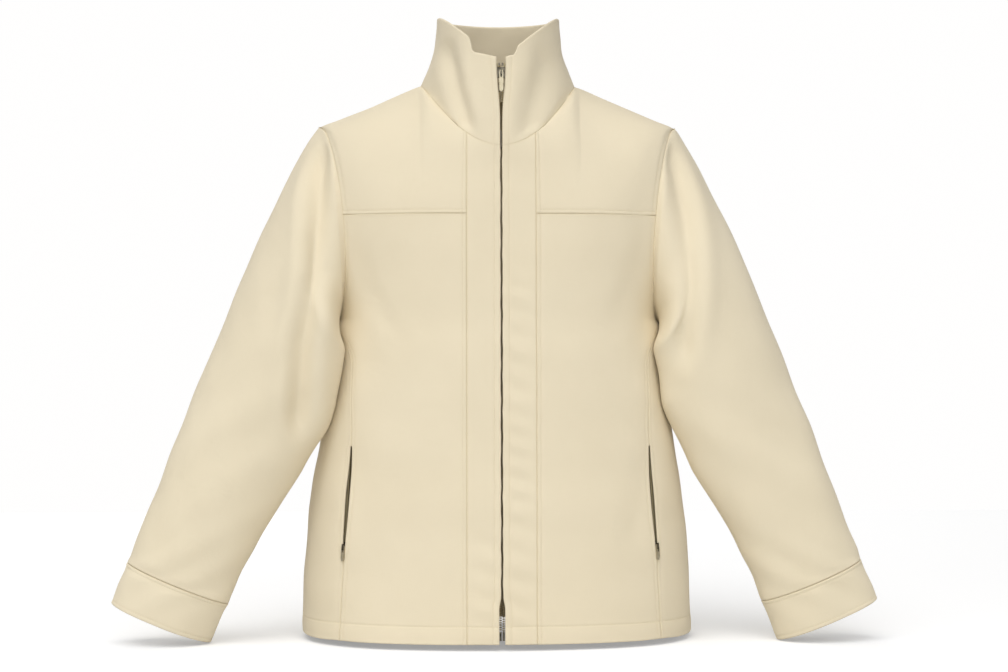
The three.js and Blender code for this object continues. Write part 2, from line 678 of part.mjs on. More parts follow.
function sleeveSolid(from, to, nv, far) {
  return sheetSolid(sleeveTube(from, to), { nu: SLEEVE_SIDES, nv, far, ring: true });
}

// Below its head a sleeve is two halves, the front (0) and the back (1), seamed along both lines.
function sleeveHalf(half) {
  const gapAngle = SEAM_GAP / SLEEVE_HALF_DEPTH_CUFF / 2;
  const from = half * Math.PI + gapAngle;
  const to = (half + 1) * Math.PI - gapAngle;
  const surface = (u, v) => {
    return sleevePoint(lerp(HEAD_END, CUFF_START - RING_GAP, v), lerp(from, to, u));
  };
  return sheetSolid(surface, { nu: SLEEVE_SIDES / 2, nv: SLEEVE_ROWS });
}

// ---------------------------------------------------------------- zips
// A zip is drawn in its own frame: x across it, y into the jacket and z up along the teeth.

function zipFrame(origin, up, outward) {
  const along = new THREE.Vector3(...up).normalize();
  const inward = new THREE.Vector3(...outward).negate();
  inward.addScaledVector(along, -inward.dot(along)).normalize();
  const across = new THREE.Vector3().crossVectors(inward, along);
  const frame = new THREE.Group();
  frame.matrixAutoUpdate = false;
  frame.matrix.makeBasis(across, inward, along).setPosition(new THREE.Vector3(...origin));
  hung.add(frame);
  return frame;
}

function rectangle(x0, x1, y0, y1) {
  return outline([[x0, y0], [x1, y0], [x1, y1], [x0, y1]]);
}

function bar([x0, x1], thickness, z0, z1) {
  return extrude(rectangle(x0, x1, -thickness / 2, thickness / 2), z1 - z0).translate(0, 0, z0);
}

// The stretch of x that teeth, stops and end parts take up on one side of the zip.
function teethSpan(side, outer) {
  return side > 0 ? [TEETH_HALF_GAP, outer] : [-outer, -TEETH_HALF_GAP];
}

function teethStrip(side, outer, z0, z1) {
  return bar(teethSpan(side, outer), TEETH_THICKNESS, z0, z1);
}

function tapeStrip(side, outer, width, z0, z1) {
  const near = outer + SEAM_GAP;
  const span = side > 0 ? [near, near + width] : [-near - width, -near];
  return bar(span, TAPE_THICKNESS, z0, z1);
}

// Two plates joined by a thin web between the rows of teeth, with lips that wrap the teeth
// and a crown that stands out through the slit to carry the pull.
function sliderSolid(teethOuter, reach, halfWidth) {
  const plateIn = TEETH_THICKNESS / 2 + SLIDER_CLEARANCE;
  const plateOut = plateIn + SLIDER_PLATE;
  const lip = TAPE_THICKNESS / 2 + SLIDER_CLEARANCE;
  const lipX = teethOuter + SLIDER_CLEARANCE;
  const quarter = [
    [WEB_HALF, 0], [WEB_HALF, plateIn], [lipX, plateIn], [lipX, lip], [halfWidth, lip],
    [halfWidth, plateOut],
  ];
  const right = [...quarter.slice(1).map(([x, y]) => [x, -y]).reverse(), ...quarter.slice(1)];
  const left = right.map(([x, y]) => [-x, y]).reverse();
  const body = extrude(outline([...right, ...left]), SLIDER_LENGTH).translate(0, 0, -SLIDER_LENGTH / 2);
  const crownTop = -(reach + PULL_THICKNESS + 2 * CROWN_BAR + CROWN_PLAY);
  const foot = -plateIn - SLIDER_PLATE / 2;
  const arch = rectangle(-CROWN_HALF_LENGTH, CROWN_HALF_LENGTH, foot, crownTop);
  const eyeLow = -(reach + CROWN_STAND_OFF);
  arch.holes.push(rectangle(-CROWN_EYE_HALF, CROWN_EYE_HALF, crownTop + CROWN_BAR, eyeLow));
  const crown = extrude(arch, 2 * CROWN_HALF).translate(0, 0, -CROWN_HALF);
  crown.applyMatrix4(new THREE.Matrix4().makeBasis(
    new THREE.Vector3(0, 0, 1), new THREE.Vector3(0, 1, 0), new THREE.Vector3(-1, 0, 0),
  ));
  return fromManifold(toManifold(body).add(toManifold(crown)));
}

function pullAxisDepth(reach) {
  return -(reach + CROWN_STAND_OFF + (PULL_THICKNESS + CROWN_BAR + PULL_SLOT_CLEARANCE) / 2);
}

// The pull hangs from a bar through the crown: a plate with a slot that clears the crown.
function pullSolid(length, halfWidth) {
  const slotHalf = CROWN_HALF + PULL_SLOT_CLEARANCE;
  const half = PULL_THICKNESS / 2;
  const right = [
    [halfWidth - PULL_TIP_TAPER, -length], [halfWidth, -length + PULL_SHOULDER],
    [halfWidth, half - PULL_SHOULDER], [halfWidth - PULL_TAPER, half],
  ];
  const left = right.map(([x, y]) => [-x, y]).reverse();
  const plate = outline([...right, ...left]);
  plate.holes.push(rectangle(-slotHalf, slotHalf, -half - PULL_SLOT_LENGTH, -half));
  const solid = extrude(plate, PULL_THICKNESS).translate(0, 0, -half);
  return solid.applyMatrix4(new THREE.Matrix4().makeBasis(
    new THREE.Vector3(1, 0, 0), new THREE.Vector3(0, 0, 1), new THREE.Vector3(0, -1, 0),
  ));
}

function addFrontZip() {
  const outward = [0, -1, FRONT_LEAN];
  const frame = zipFrame([0, FRONT_HEM_Y, 0], [0, FRONT_LEAN, 1], outward);
  const stretch = Math.hypot(1, FRONT_LEAN);
  const top = (COLLAR_FRONT_Z - ZIP_TOP_MARGIN) * stretch;
  const part = (name, geometry, finish) => {
    add(name, geometry.translate(0, ZIP_DEPTH, 0), finish, frame);
  };
  const teethTop = top - STOP_HEIGHT - SEAM_GAP;
  const teethFrom = ZIP_BOTTOM + BOX_HEIGHT + SEAM_GAP;
  for (const [side, word] of [[1, 'left'], [-1, 'right']]) {
    const teeth = teethStrip(side, TEETH_OUTER, teethFrom, teethTop);
    const tape = tapeStrip(side, TEETH_OUTER, TAPE_WIDTH, ZIP_BOTTOM, top);
    part(`front_zip_teeth_${word}`, teeth, ANTIQUE_BRASS);
    part(`front_zip_tape_${word}`, tape, TAPE_CLOTH);
    part(`front_zip_top_stop_${word}`, teethStrip(side, TEETH_OUTER, teethTop + SEAM_GAP, top), GUNMETAL);
  }
  const boxTop = ZIP_BOTTOM + BOX_HEIGHT;
  part('front_zip_retainer_box', teethStrip(1, TEETH_OUTER, ZIP_BOTTOM, boxTop), GUNMETAL);
  part('front_zip_insertion_pin', teethStrip(-1, TEETH_OUTER, ZIP_BOTTOM, boxTop), GUNMETAL);
  const sliderZ = teethTop - SLIDER_TOP_CLEARANCE - SLIDER_LENGTH / 2;
  const slider = sliderSolid(TEETH_OUTER, ZIP_DEPTH, SLIDER_HALF_WIDTH);
  part('front_zip_slider', slider.translate(0, 0, sliderZ), GUNMETAL);
  const pull = pullSolid(PULL_LENGTH, PULL_HALF_WIDTH);
  part('front_zip_pull', pull.translate(0, pullAxisDepth(ZIP_DEPTH), sliderZ + PULL_AXIS_UP), GUNMETAL);
}

function pocketSeamPoint(z) {
  return sectionPoint(FRONT, sectionAngleOfShare(sideFrontShare(z)), z);
}

function addPocketZip(side, word) {
  const place = (z) => {
    const [x, y, height] = pocketSeamPoint(z);
    return new THREE.Vector3(side * x, y, height);
  };
  const low = place(POCKET_BOTTOM_Z);
  const high = place(POCKET_TOP_Z);
  const middleZ = (POCKET_BOTTOM_Z + POCKET_TOP_Z) / 2;
  const angle = sectionAngleOfShare(sideFrontShare(middleZ));
  const small = 0.02;
  const before = sectionPoint(FRONT, angle - small, middleZ);
  const after = sectionPoint(FRONT, angle + small, middleZ);
  const outward = [side * (after[1] - before[1]), -(after[0] - before[0]), 0];
  const up = high.clone().sub(low);
  const length = up.length();
  const frame = zipFrame(low.toArray(), up.toArray(), outward);
  const part = (name, geometry, finish) => {
    add(`pocket_${name}_${word}`, geometry.translate(0, POCKET_ZIP_DEPTH, 0), finish, frame);
  };
  for (const [edge, edgeWord] of [[side, 'back'], [-side, 'front']]) {
    const over = POCKET_TAPE_OVERRUN;
    const tape = tapeStrip(edge, POCKET_TEETH_OUTER, POCKET_TAPE_WIDTH, -over, length + over);
    part(`${edgeWord}_teeth`, teethStrip(edge, POCKET_TEETH_OUTER, 0, length), ANTIQUE_BRASS);
    part(`${edgeWord}_tape`, tape, TAPE_CLOTH);
  }
  const sliderZ = SLIDER_LENGTH / 2 + POCKET_SLIDER_FROM_END;
  const sliderHalf = SLIDER_HALF_WIDTH - POCKET_SLIDER_NARROWER;
  const slider = sliderSolid(POCKET_TEETH_OUTER, POCKET_ZIP_DEPTH, sliderHalf);
  part('slider', slider.translate(0, 0, sliderZ), GUNMETAL);
  const pull = pullSolid(POCKET_PULL_LENGTH, PULL_HALF_WIDTH);
  part('pull', pull.translate(0, pullAxisDepth(POCKET_ZIP_DEPTH), sliderZ + PULL_AXIS_UP), GUNMETAL);
}

// The bag is a flat pouch behind the front panel, open on the side that meets the slot.
function bagSheet(extraSide, inset) {
  return (u, v) => {
    const z = lerp(BAG_BOTTOM_Z + inset, BAG_TOP_Z - inset, v);
    const seamX = pocketSeamPoint(z)[0];
    const x = lerp(BAG_INNER_X + inset, seamX - BAG_FROM_SLOT + extraSide, u);
    return sectionPoint(FRONT, sectionAngleOfX(FRONT, x, z), z);
  };
}

function pocketBag() {
  const grid = { nu: 6, nv: 4 };
  const whole = sheetSolid(bagSheet(0, 0), { ...grid, near: BAG_FRONT, far: BAG_FRONT + BAG_THICKNESS });
  const hollow = sheetSolid(bagSheet(BAG_MOUTH, LINING), {
    ...grid,
    near: BAG_FRONT + LINING,
    far: BAG_FRONT + BAG_THICKNESS - LINING,
  });
  return fromManifold(toManifold(whole).subtract(toManifold(hollow)));
}

// ---------------------------------------------------------------- hanging loop

// An upright arch of tape, with its flat underside at the jacket's origin.
function hangingLoop() {
  const leg = LOOP_LEG;
  const shoulder = LOOP_SHOULDER;
  const thick = LOOP_THICKNESS;
  const half = LOOP_HALF_SPAN;
  const right = [
    [half - shoulder - thick, 0], [half - thick, -shoulder], [half - thick, -leg], [half, -leg],
    [half, -shoulder + thick / 2], [half - shoulder, thick],
  ];
  const left = right.map(([x, y]) => [-x, y]).reverse();
  const arch = extrude(outline([...right, ...left]), LOOP_WIDTH).translate(0, 0, -LOOP_WIDTH / 2);
  arch.rotateX(Math.PI / 2);
  return arch.translate(0, LOOP_Y, LOOP_TOP_Z);
}

// ---------------------------------------------------------------- put together

addPair('front_band', sheetSolid(frontBand, { nu: 3, nv: STRIP_ROWS, far: BAND_CLOTH }), COTTON);
addPair('front_panel', sheetSolid(frontPanel, { nu: 7, nv: LOWER_ROWS + UPPER_ROWS }), COTTON);
addPair('side_panel', sheetSolid(sidePanel, { nu: 4, nv: LOWER_ROWS }), COTTON);
addPair('front_yoke', sheetSolid(frontYoke, { nu: 12, nv: NECK_ROWS }), COTTON);
add('back_panel', sheetSolid(backPanel, { nu: 16, nv: LOWER_ROWS + BACK_UPPER_ROWS }), COTTON);
add('back_yoke', sheetSolid(backYoke, { nu: 24, nv: NECK_ROWS }), COTTON);

const facingFrom = BAND_CLOTH + LAYER_GAP;
const frontFacingSolid = sheetSolid(frontFacing, {
  nu: 3, nv: STRIP_ROWS, near: facingFrom, far: facingFrom + LINING,
});
addPair('front_facing', frontFacingSolid, COTTON_INNER);

const innerFrom = CLOTH + LAYER_GAP;
const innerTo = innerFrom + LINING;
const neckFacingTo = CLOTH + NECK_FACING_GAP + LINING;
const neckFacingFrom = CLOTH + NECK_FACING_GAP;
const neckFacingSolid = sheetSolid(backNeckFacing, {
  nu: 8, nv: 5, near: neckFacingFrom, far: neckFacingTo,
});
add('back_neck_facing', neckFacingSolid, COTTON_INNER);
const labelFrom = neckFacingTo + LAYER_GAP;
const labelSolid = sheetSolid(labelFace, {
  nu: 3, nv: 2, near: labelFrom, far: labelFrom + LABEL_THICKNESS,
});
add('size_label', labelSolid, LABEL_CLOTH);
add('collar_outer', sheetSolid(collarOuter, { nu: 36, nv: 5 }), COTTON);
const collarFacingSolid = sheetSolid(collarFacing, { nu: 34, nv: 4, near: innerFrom, far: innerTo });
add('collar_facing', collarFacingSolid, COTTON_INNER);
add('hanging_loop', hangingLoop(), COTTON_INNER);

addPair('upper_sleeve', sleeveSolid(0, HEAD_END - RING_GAP, SLEEVE_ROWS, CLOTH), COTTON);
addPair('front_sleeve', sleeveHalf(0), COTTON);
addPair('back_sleeve', sleeveHalf(1), COTTON);
addPair('cuff', sleeveSolid(CUFF_START, 1, 1, BAND_CLOTH), COTTON);

addFrontZip();
addPair('pocket_bag', pocketBag(), COTTON_INNER);
addPocketZip(1, 'left');
addPocketZip(-1, 'right');

export default jacket;
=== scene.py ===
import math

import bpy
import numpy as np
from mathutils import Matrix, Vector


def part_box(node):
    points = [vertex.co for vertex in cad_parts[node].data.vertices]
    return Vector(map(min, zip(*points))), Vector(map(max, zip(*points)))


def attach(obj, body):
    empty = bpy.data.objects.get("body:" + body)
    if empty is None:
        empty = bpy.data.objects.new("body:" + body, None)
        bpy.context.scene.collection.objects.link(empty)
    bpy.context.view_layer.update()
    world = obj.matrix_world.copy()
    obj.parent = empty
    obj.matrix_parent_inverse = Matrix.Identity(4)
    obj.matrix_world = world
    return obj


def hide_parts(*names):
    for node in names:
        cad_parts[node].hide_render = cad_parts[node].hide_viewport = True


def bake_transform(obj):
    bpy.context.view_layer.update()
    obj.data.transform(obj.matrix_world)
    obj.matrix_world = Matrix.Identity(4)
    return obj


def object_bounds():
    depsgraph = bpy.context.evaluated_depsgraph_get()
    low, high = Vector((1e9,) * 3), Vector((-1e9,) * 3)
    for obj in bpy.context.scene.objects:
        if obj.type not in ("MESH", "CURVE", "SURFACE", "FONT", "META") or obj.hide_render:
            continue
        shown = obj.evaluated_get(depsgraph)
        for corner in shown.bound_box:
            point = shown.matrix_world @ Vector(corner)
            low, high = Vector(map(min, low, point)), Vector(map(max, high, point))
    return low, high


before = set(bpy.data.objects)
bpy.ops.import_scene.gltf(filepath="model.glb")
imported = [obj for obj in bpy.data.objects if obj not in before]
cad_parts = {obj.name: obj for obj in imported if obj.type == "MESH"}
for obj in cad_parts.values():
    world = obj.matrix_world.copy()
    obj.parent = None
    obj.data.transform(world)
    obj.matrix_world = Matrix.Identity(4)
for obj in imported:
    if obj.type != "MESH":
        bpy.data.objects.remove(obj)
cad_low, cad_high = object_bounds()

# A cream cotton jacket. Cloth is worked out in millimetres from the hem up (z), with the front facing -Y
# and the wearer's left side at +X, and is moved into the frame's metres as each mesh is made.

MM = 0.001
FRONT_HEM_Y = -128.0
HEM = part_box("back_panel")[0].z
FRAME_ORIGIN = np.array([0.0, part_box("front_band_left")[0].y - FRONT_HEM_Y * MM, HEM])
SIDES = {"left": 1, "right": -1}

# cut of the torso
SECTION_POWER = 2.4
SIDE_Y = 6.0
FRONT_LEAN = 0.05
BACK_Y = 112.0
HEM_HALF_WIDTH, CHEST_HALF_WIDTH = 228.5, 192.5
TAPER_FROM, TAPER_TO = 40.0, 380.0
NECK_HALF_WIDTH, NECK_SIDE_Z, NECK_FRONT_Z, NECK_BACK_Z, NECK_BACK_Y = 91.0, 641.0, 563.0, 630.0, 72.0
TIP_X, TIP_Z, UNDERARM_Z = 211.0, 591.0, 360.0
SCOOP = {-1: 22.0, 1: 14.0}
ARM_DEPTH = {-1: 68.0, 1: 60.0}
BAND_SEAM_X, FRONT_YOKE_Z, BACK_YOKE_Z = 39.5, 485.0, 520.0
POCKET_LOW, POCKET_HIGH = 99.0, 220.0
FRONT, BACK = -1, 1

# cloth
CLOTH, DOUBLE_CLOTH, LINING, LABEL_CLOTH, TAPE_CLOTH = 1.6, 2.0, 1.2, 0.5, 0.6
LAYER_GAP = 0.5
THREAD_PITCH = 0.00055             # metres, as the cloth's UV map is
HEM_TURN = 20.0
SEAM_ROLL = 0.6
SEAM_SHADE_WIDTH = 1.3
SEAM_GAP = -0.1


# ---------------------------------------------------------------- camera

CAMERA_DISTANCE, CAMERA_HEIGHT, CAMERA_SIDE_STEP = 2.5, 0.346, 0.0074
CAMERA_AZIMUTH = math.radians(-2.5)
LENS, SENSOR_WIDTH = 75.66, 36.0
NEAREST_SEEN, FARTHEST_SEEN = 0.05, 60.0


def set_camera():
    """Level camera in front of the jacket, a little towards the wearer's right."""
    data = bpy.data.cameras.new("camera")
    data.lens, data.sensor_width = LENS, SENSOR_WIDTH
    data.clip_start, data.clip_end = NEAREST_SEEN, FARTHEST_SEEN
    camera = bpy.data.objects.new("camera", data)
    bpy.context.collection.objects.link(camera)
    target = Vector((CAMERA_SIDE_STEP, FRAME_ORIGIN[1], HEM + CAMERA_HEIGHT))
    away = Vector((math.sin(CAMERA_AZIMUTH), -math.cos(CAMERA_AZIMUTH), 0.0))
    camera.location = target + away * CAMERA_DISTANCE
    camera.rotation_euler = (target - camera.location).to_track_quat("-Z", "Y").to_euler()
    bpy.context.scene.camera = camera


# ---------------------------------------------------------------- numbers on whole arrays

def mix(a, b, t):
    return a + (b - a) * t


def smooth(t):
    t = np.clip(t, 0.0, 1.0)
    return t * t * (3.0 - 2.0 * t)


def bell(distance, width):
    return np.exp(-(distance / width) ** 2)


WAVES_SUMMED = 5


def waves(points, seed, length, amount):
    """Sum of five plane waves of about the given length in random fixed directions."""
    draw = np.random.default_rng(seed)
    total = np.zeros(points.shape[:-1])
    for _ in range(WAVES_SUMMED):
        direction = draw.normal(size=3)
        direction /= np.linalg.norm(direction)
        pitch = length * draw.uniform(0.7, 1.5)
        total += np.sin(points @ direction * (2 * math.pi / pitch) + draw.uniform(0, 2 * math.pi))
    return total * amount / WAVES_SUMMED


# ---------------------------------------------------------------- surface of the torso

def side_half_width(z):
    return mix(HEM_HALF_WIDTH, CHEST_HALF_WIDTH, smooth((z - TAPER_FROM) / (TAPER_TO - TAPER_FROM)))


def centre_y(face, z):
    return FRONT_HEM_Y + FRONT_LEAN * z if face == FRONT else np.full(np.shape(z), BACK_Y)


UNDERARM_X = float(side_half_width(UNDERARM_Z))


def armhole_point(face, z):
    """Upright oval: x and y of the armhole's edge from the cosine (rise) and sine (reach) of its angle."""
    rise = np.clip((z - (TIP_Z + UNDERARM_Z) / 2) / ((TIP_Z - UNDERARM_Z) / 2), -1.0, 1.0)
    reach = np.sqrt(1.0 - rise * rise)
    x = (TIP_X + UNDERARM_X) / 2 + (TIP_X - UNDERARM_X) / 2 * rise - SCOOP[face] * reach
    return x, SIDE_Y + face * ARM_DEPTH[face] * reach


def edge_share(face, z):
    """Depth share (0 in the side plane, 1 at the centre) of the torso's edge at a height."""
    share = (armhole_point(face, z)[1] - SIDE_Y) / (centre_y(face, z) - SIDE_Y)
    return np.where(z <= UNDERARM_Z, 0.0, share)


def section_half_width(face, z):
    share = edge_share(face, z)
    whole = armhole_point(face, z)[0] / (1.0 - share ** SECTION_POWER) ** (1.0 / SECTION_POWER)
    return np.where(z <= UNDERARM_Z, side_half_width(z), whole)


def angle_of_x(face, x, z):
    ratio = np.clip(np.abs(x) / section_half_width(face, z), 0.0, 1.0)
    return np.arcsin(ratio ** (SECTION_POWER / 2))


def angle_of_share(share):
    return np.arccos(np.clip(share, 0.0, 1.0) ** (SECTION_POWER / 2))


def section_point(face, angle, z):
    """Superellipse: x goes with the sine and depth with the cosine of the angle, both to the power 2/n."""
    sine = np.sin(angle)
    x = np.sign(sine) * section_half_width(face, z) * np.abs(sine) ** (2 / SECTION_POWER)
    share = np.clip(np.cos(angle), 0.0, 1.0) ** (2 / SECTION_POWER)
    return np.stack([x, SIDE_Y + share * (centre_y(face, z) - SIDE_Y), z + 0 * x], axis=-1)


def line_top(face, x):
    """Where the vertical line at half breadth x ends: on the neck seam's oval or on the sloping shoulder."""
    middle_y = FRONT_HEM_Y + FRONT_LEAN * NECK_FRONT_Z if face == FRONT else NECK_BACK_Y
    middle_z = NECK_FRONT_Z if face == FRONT else NECK_BACK_Z
    ratio = np.clip(x / NECK_HALF_WIDTH, 0.0, 1.0)
    along = np.clip((x - NECK_HALF_WIDTH) / (TIP_X - NECK_HALF_WIDTH), 0.0, 1.0)
    neck_z = mix(middle_z, NECK_SIDE_Z, ratio * ratio)
    z = np.where(x < NECK_HALF_WIDTH, neck_z, mix(NECK_SIDE_Z, TIP_Z, along))
    return mix(SIDE_Y, middle_y, np.sqrt(1.0 - ratio * ratio)), z


def rounded_point(face, x, z, top_y, top_z, near_armhole=0.0):
    """Level section below; above the yoke seam its depth turns over in a quarter round to the top edge."""
    start = FRONT_YOKE_Z if face == FRONT else BACK_YOKE_Z
    y = section_point(face, angle_of_x(face, x, z), z)[..., 1]
    climb = np.clip((z - start) / np.maximum(top_z - start, 1.0), 0.0, 1.0)
    turn = (1.0 - np.sqrt(1.0 - climb * climb)) ** (1.0 + 3.0 * near_armhole ** 4)
    return np.stack([x + 0 * z, mix(y, top_y, turn), z + 0 * x], axis=-1)


# ---------------------------------------------------------------- cloth pieces

def lengths(points, axis):
    """Running length from the first point along an axis of the grid."""
    steps = np.linalg.norm(np.diff(points, axis=axis), axis=-1)
    pad = [(0, 0), (0, 0)]
    pad[axis] = (1, 0)
    return np.cumsum(np.pad(steps, pad), axis=axis)


def normals(points, ring=False):
    """Unit cross product of the grid's two directions; it points out of the jacket."""
    if ring:
        wrapped = np.concatenate([points[:, -2:-1], points, points[:, 1:2]], axis=1)
        along = (wrapped[:, 2:] - wrapped[:, :-2])
    else:
        along = np.gradient(points, axis=1)
    up = np.gradient(points, axis=0)
    cross = np.cross(along, up)
    return cross / np.maximum(np.linalg.norm(cross, axis=-1, keepdims=True), 1e-9)


def new_object(name, vertices, faces, body, material, smooth_shade=True, uv=None, shade=None):
    """Mesh object at the origin from vertices in the frame's metres and faces of one size."""
    mesh = bpy.data.meshes.new(name)
    mesh.from_pydata(vertices.tolist(), [], faces.tolist())
    if uv is not None:
        layer = mesh.uv_layers.new(name="cloth")
        corners = np.empty(len(mesh.loops), dtype=np.int32)
        mesh.loops.foreach_get("vertex_index", corners)
        layer.data.foreach_set("uv", uv[corners].astype(np.float32).ravel())
    if shade is not None:
        # the sewn attribute holds painted seam shade: how far the colour is darkened beside seams
        attribute = mesh.attributes.new("sewn", "FLOAT", "POINT")
        attribute.data.foreach_set("value", shade.astype(np.float32))
    mesh.polygons.foreach_set("use_smooth", np.full(len(mesh.polygons), smooth_shade))
    mesh.update()
    piece = bpy.data.objects.new(name, mesh)
    bpy.context.collection.objects.link(piece)
    mesh.materials.append(material)
    if body:
        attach(piece, body)
    return piece


class Cloth:
    """A grid of cloth: rows run up (v), columns across (u), and edges are left, right, low and high."""

    def __init__(self, points, ring=False):
        self.points, self.ring = points, ring
        self.measure()

    def measure(self):
        self.normal = normals(self.points, self.ring)
        self.across = lengths(self.points, 1)
        self.up = lengths(self.points, 0)
        self.distance = {
            "left": self.across,
            "right": self.across[:, -1:] - self.across,
            "low": self.up,
            "high": self.up[-1:] - self.up,
        }

    def raise_by(self, height):
        self.points = self.points + self.normal * height[..., None]
        self.measure()

    def sew(self, edge, at, depth=0.35, width=0.8, puff=0.25):
        """A line of topstitching parallel to an edge: a groove, with the cloth a little raised beside it."""
        distance = self.distance[edge]
        groove = -depth * bell(distance - at, width)
        pillow = puff * bell(distance - at * 0.5, at * 0.35)
        self.raise_by(groove + pillow)

    def line(self, edge, at):
        """Points and normals of the line at a distance from an edge, one for each row or column."""
        distance = self.distance[edge]
        axis = 1 if edge in ("left", "right") else 0
        grid = np.moveaxis(self.points, axis, 1)
        normal = np.moveaxis(self.normal, axis, 1)
        if axis == 0:
            distance = distance.T
        if edge in ("right", "high"):
            distance, grid, normal = distance[:, ::-1], grid[:, ::-1], normal[:, ::-1]
        index = np.clip((distance < at).sum(axis=1), 1, distance.shape[1] - 1)
        rows = np.arange(len(index))
        low, high = distance[rows, index - 1], distance[rows, index]
        t = np.clip((at - low) / np.maximum(high - low, 1e-9), 0.0, 1.0)[:, None]
        return (mix(grid[rows, index - 1], grid[rows, index], t),
                mix(normal[rows, index - 1], normal[rows, index], t))


def sheet_mesh(cloth, thickness, free=(), sewn=(), mirror=1):
    """Closed sheet: outer face on the grid, inner face a thickness behind. Free edges are rounded to the
    middle of the thickness from both faces; sewn edges roll in from the outer face only."""
    grid, normal = cloth.points, cloth.normal
    thick = np.broadcast_to(thickness, grid.shape[:2])
    outer_roll = np.zeros(grid.shape[:2])
    inner_roll = np.zeros(grid.shape[:2])
    # painted seam shade, 0 to 1 for each point: the cloth beside a sewn edge is marked to be darkened,
    # standing in for the shade in the seam's crease
    painted_seam_shade = np.zeros(grid.shape[:2])
    for edge in tuple(free) + tuple(sewn):
        radius = thick / 2 if edge in free else np.minimum(thick / 2, SEAM_ROLL)
        close = np.clip(1.0 - cloth.distance[edge] / radius, 0.0, 1.0)
        roll = radius * (1.0 - np.sqrt(1.0 - close * close))
        outer_roll = np.maximum(outer_roll, roll)
        if edge in free:
            inner_roll = np.maximum(inner_roll, roll * 0.98)
        else:
            painted_seam_shade = np.maximum(painted_seam_shade, bell(cloth.distance[edge], SEAM_SHADE_WIDTH))
    outer = grid - normal * outer_roll[..., None]
    inner = grid - normal * (thick - inner_roll)[..., None]
    rows, columns = grid.shape[:2]
    if cloth.ring:
        outer, inner, painted_seam_shade = outer[:, :-1], inner[:, :-1], painted_seam_shade[:, :-1]
    wide = outer.shape[1]
    count = rows * wide
    index = np.arange(count).reshape(rows, wide)
    wrap = np.concatenate([index, index[:, :1]], axis=1) if cloth.ring else index
    quads = np.stack([wrap[:-1, :-1], wrap[:-1, 1:], wrap[1:, 1:], wrap[1:, :-1]], axis=-1).reshape(-1, 4)
    back = quads[:, ::-1] + count

    def rim(line, flip):
        a, b = line[:-1], line[1:]
        strip = np.stack([a, a + count, b + count, b], axis=-1)
        return strip[:, ::-1] if flip else strip

    rims = [rim(wrap[0], False), rim(wrap[-1], True)]
    if not cloth.ring:
        rims += [rim(index[:, 0], True), rim(index[:, -1], False)]
    faces = np.concatenate([quads, back] + rims)
    vertices = np.concatenate([outer.reshape(-1, 3), inner.reshape(-1, 3)])
    across = cloth.across[:, :wide]
    flat = np.stack([across, cloth.up[:, :wide]], axis=-1).reshape(-1, 2) * MM
    if mirror < 0:
        vertices = vertices * np.array([-1.0, 1.0, 1.0])
        faces = faces[:, ::-1]
    vertices = vertices * MM + FRAME_ORIGIN
    return vertices, faces, np.concatenate([flat, flat]), np.tile(painted_seam_shade.reshape(-1), 2)


def grid_area(points):
    """Area of the grid in square metres, from its quads' diagonals."""
    d1 = points[1:, 1:] - points[:-1, :-1]
    d2 = points[1:, :-1] - points[:-1, 1:]
    return float(np.linalg.norm(np.cross(d1, d2), axis=-1).sum() / 2) * MM * MM


NARROWEST_CUT = 0.01
LEAST_AREA_SHARE = 0.31


def cloth_piece(name, cloth, material, nodes, thickness=CLOTH, free=(), sewn=(), side=1, body="torso"):
    """A finished sheet that stands for CAD nodes, with its flat size measured on the cloth itself."""
    vertices, faces, uv, painted_seam_shade = sheet_mesh(cloth, thickness, free, sewn, side)
    piece = new_object(name, vertices, faces, body, material, uv=uv, shade=painted_seam_shade)
    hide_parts(*nodes)
    area = grid_area(cloth.points)
    width = max(float(cloth.across[:, -1].max()) * MM, NARROWEST_CUT)
    length = float(cloth.up[-1].max()) * MM
    area = min(max(area, LEAST_AREA_SHARE * width * length), width * length)
    return piece


# ---------------------------------------------------------------- finishes

def linear(red, green, blue):
    """Colour of 0 to 255 parts as the linear values that shaders take."""
    parts = np.array([red, green, blue]) / 255.0
    low = parts / 12.92
    high = ((parts + 0.055) / 1.055) ** 2.4
    return (*np.where(parts <= 0.04045, low, high), 1.0)


class Group:
    """A shader node group with named inputs and outputs, and short ways to add maths to it."""

    def __init__(self, name, inputs, outputs):
        self.tree = bpy.data.node_groups.new(name, "ShaderNodeTree")
        for label, kind, value in inputs:
            socket = self.tree.interface.new_socket(label, in_out="INPUT", socket_type=kind)
            if value is not None:
                socket.default_value = value
        for label, kind in outputs:
            self.tree.interface.new_socket(label, in_out="OUTPUT", socket_type=kind)
        self.source = self.tree.nodes.new("NodeGroupInput").outputs
        self.result = self.tree.nodes.new("NodeGroupOutput").inputs

    def node(self, kind, inputs, **settings):
        node = self.tree.nodes.new(kind)
        for key, value in settings.items():
            setattr(node, key, value)
        for key, value in inputs.items():
            if isinstance(value, bpy.types.NodeSocket):
                self.tree.links.new(value, node.inputs[key])
            else:
                node.inputs[key].default_value = value
        return node

    def maths(self, operation, *values):
        return self.node("ShaderNodeMath", dict(enumerate(values)), operation=operation).outputs[0]

    def link(self, output, socket):
        self.tree.links.new(socket, self.result[output])


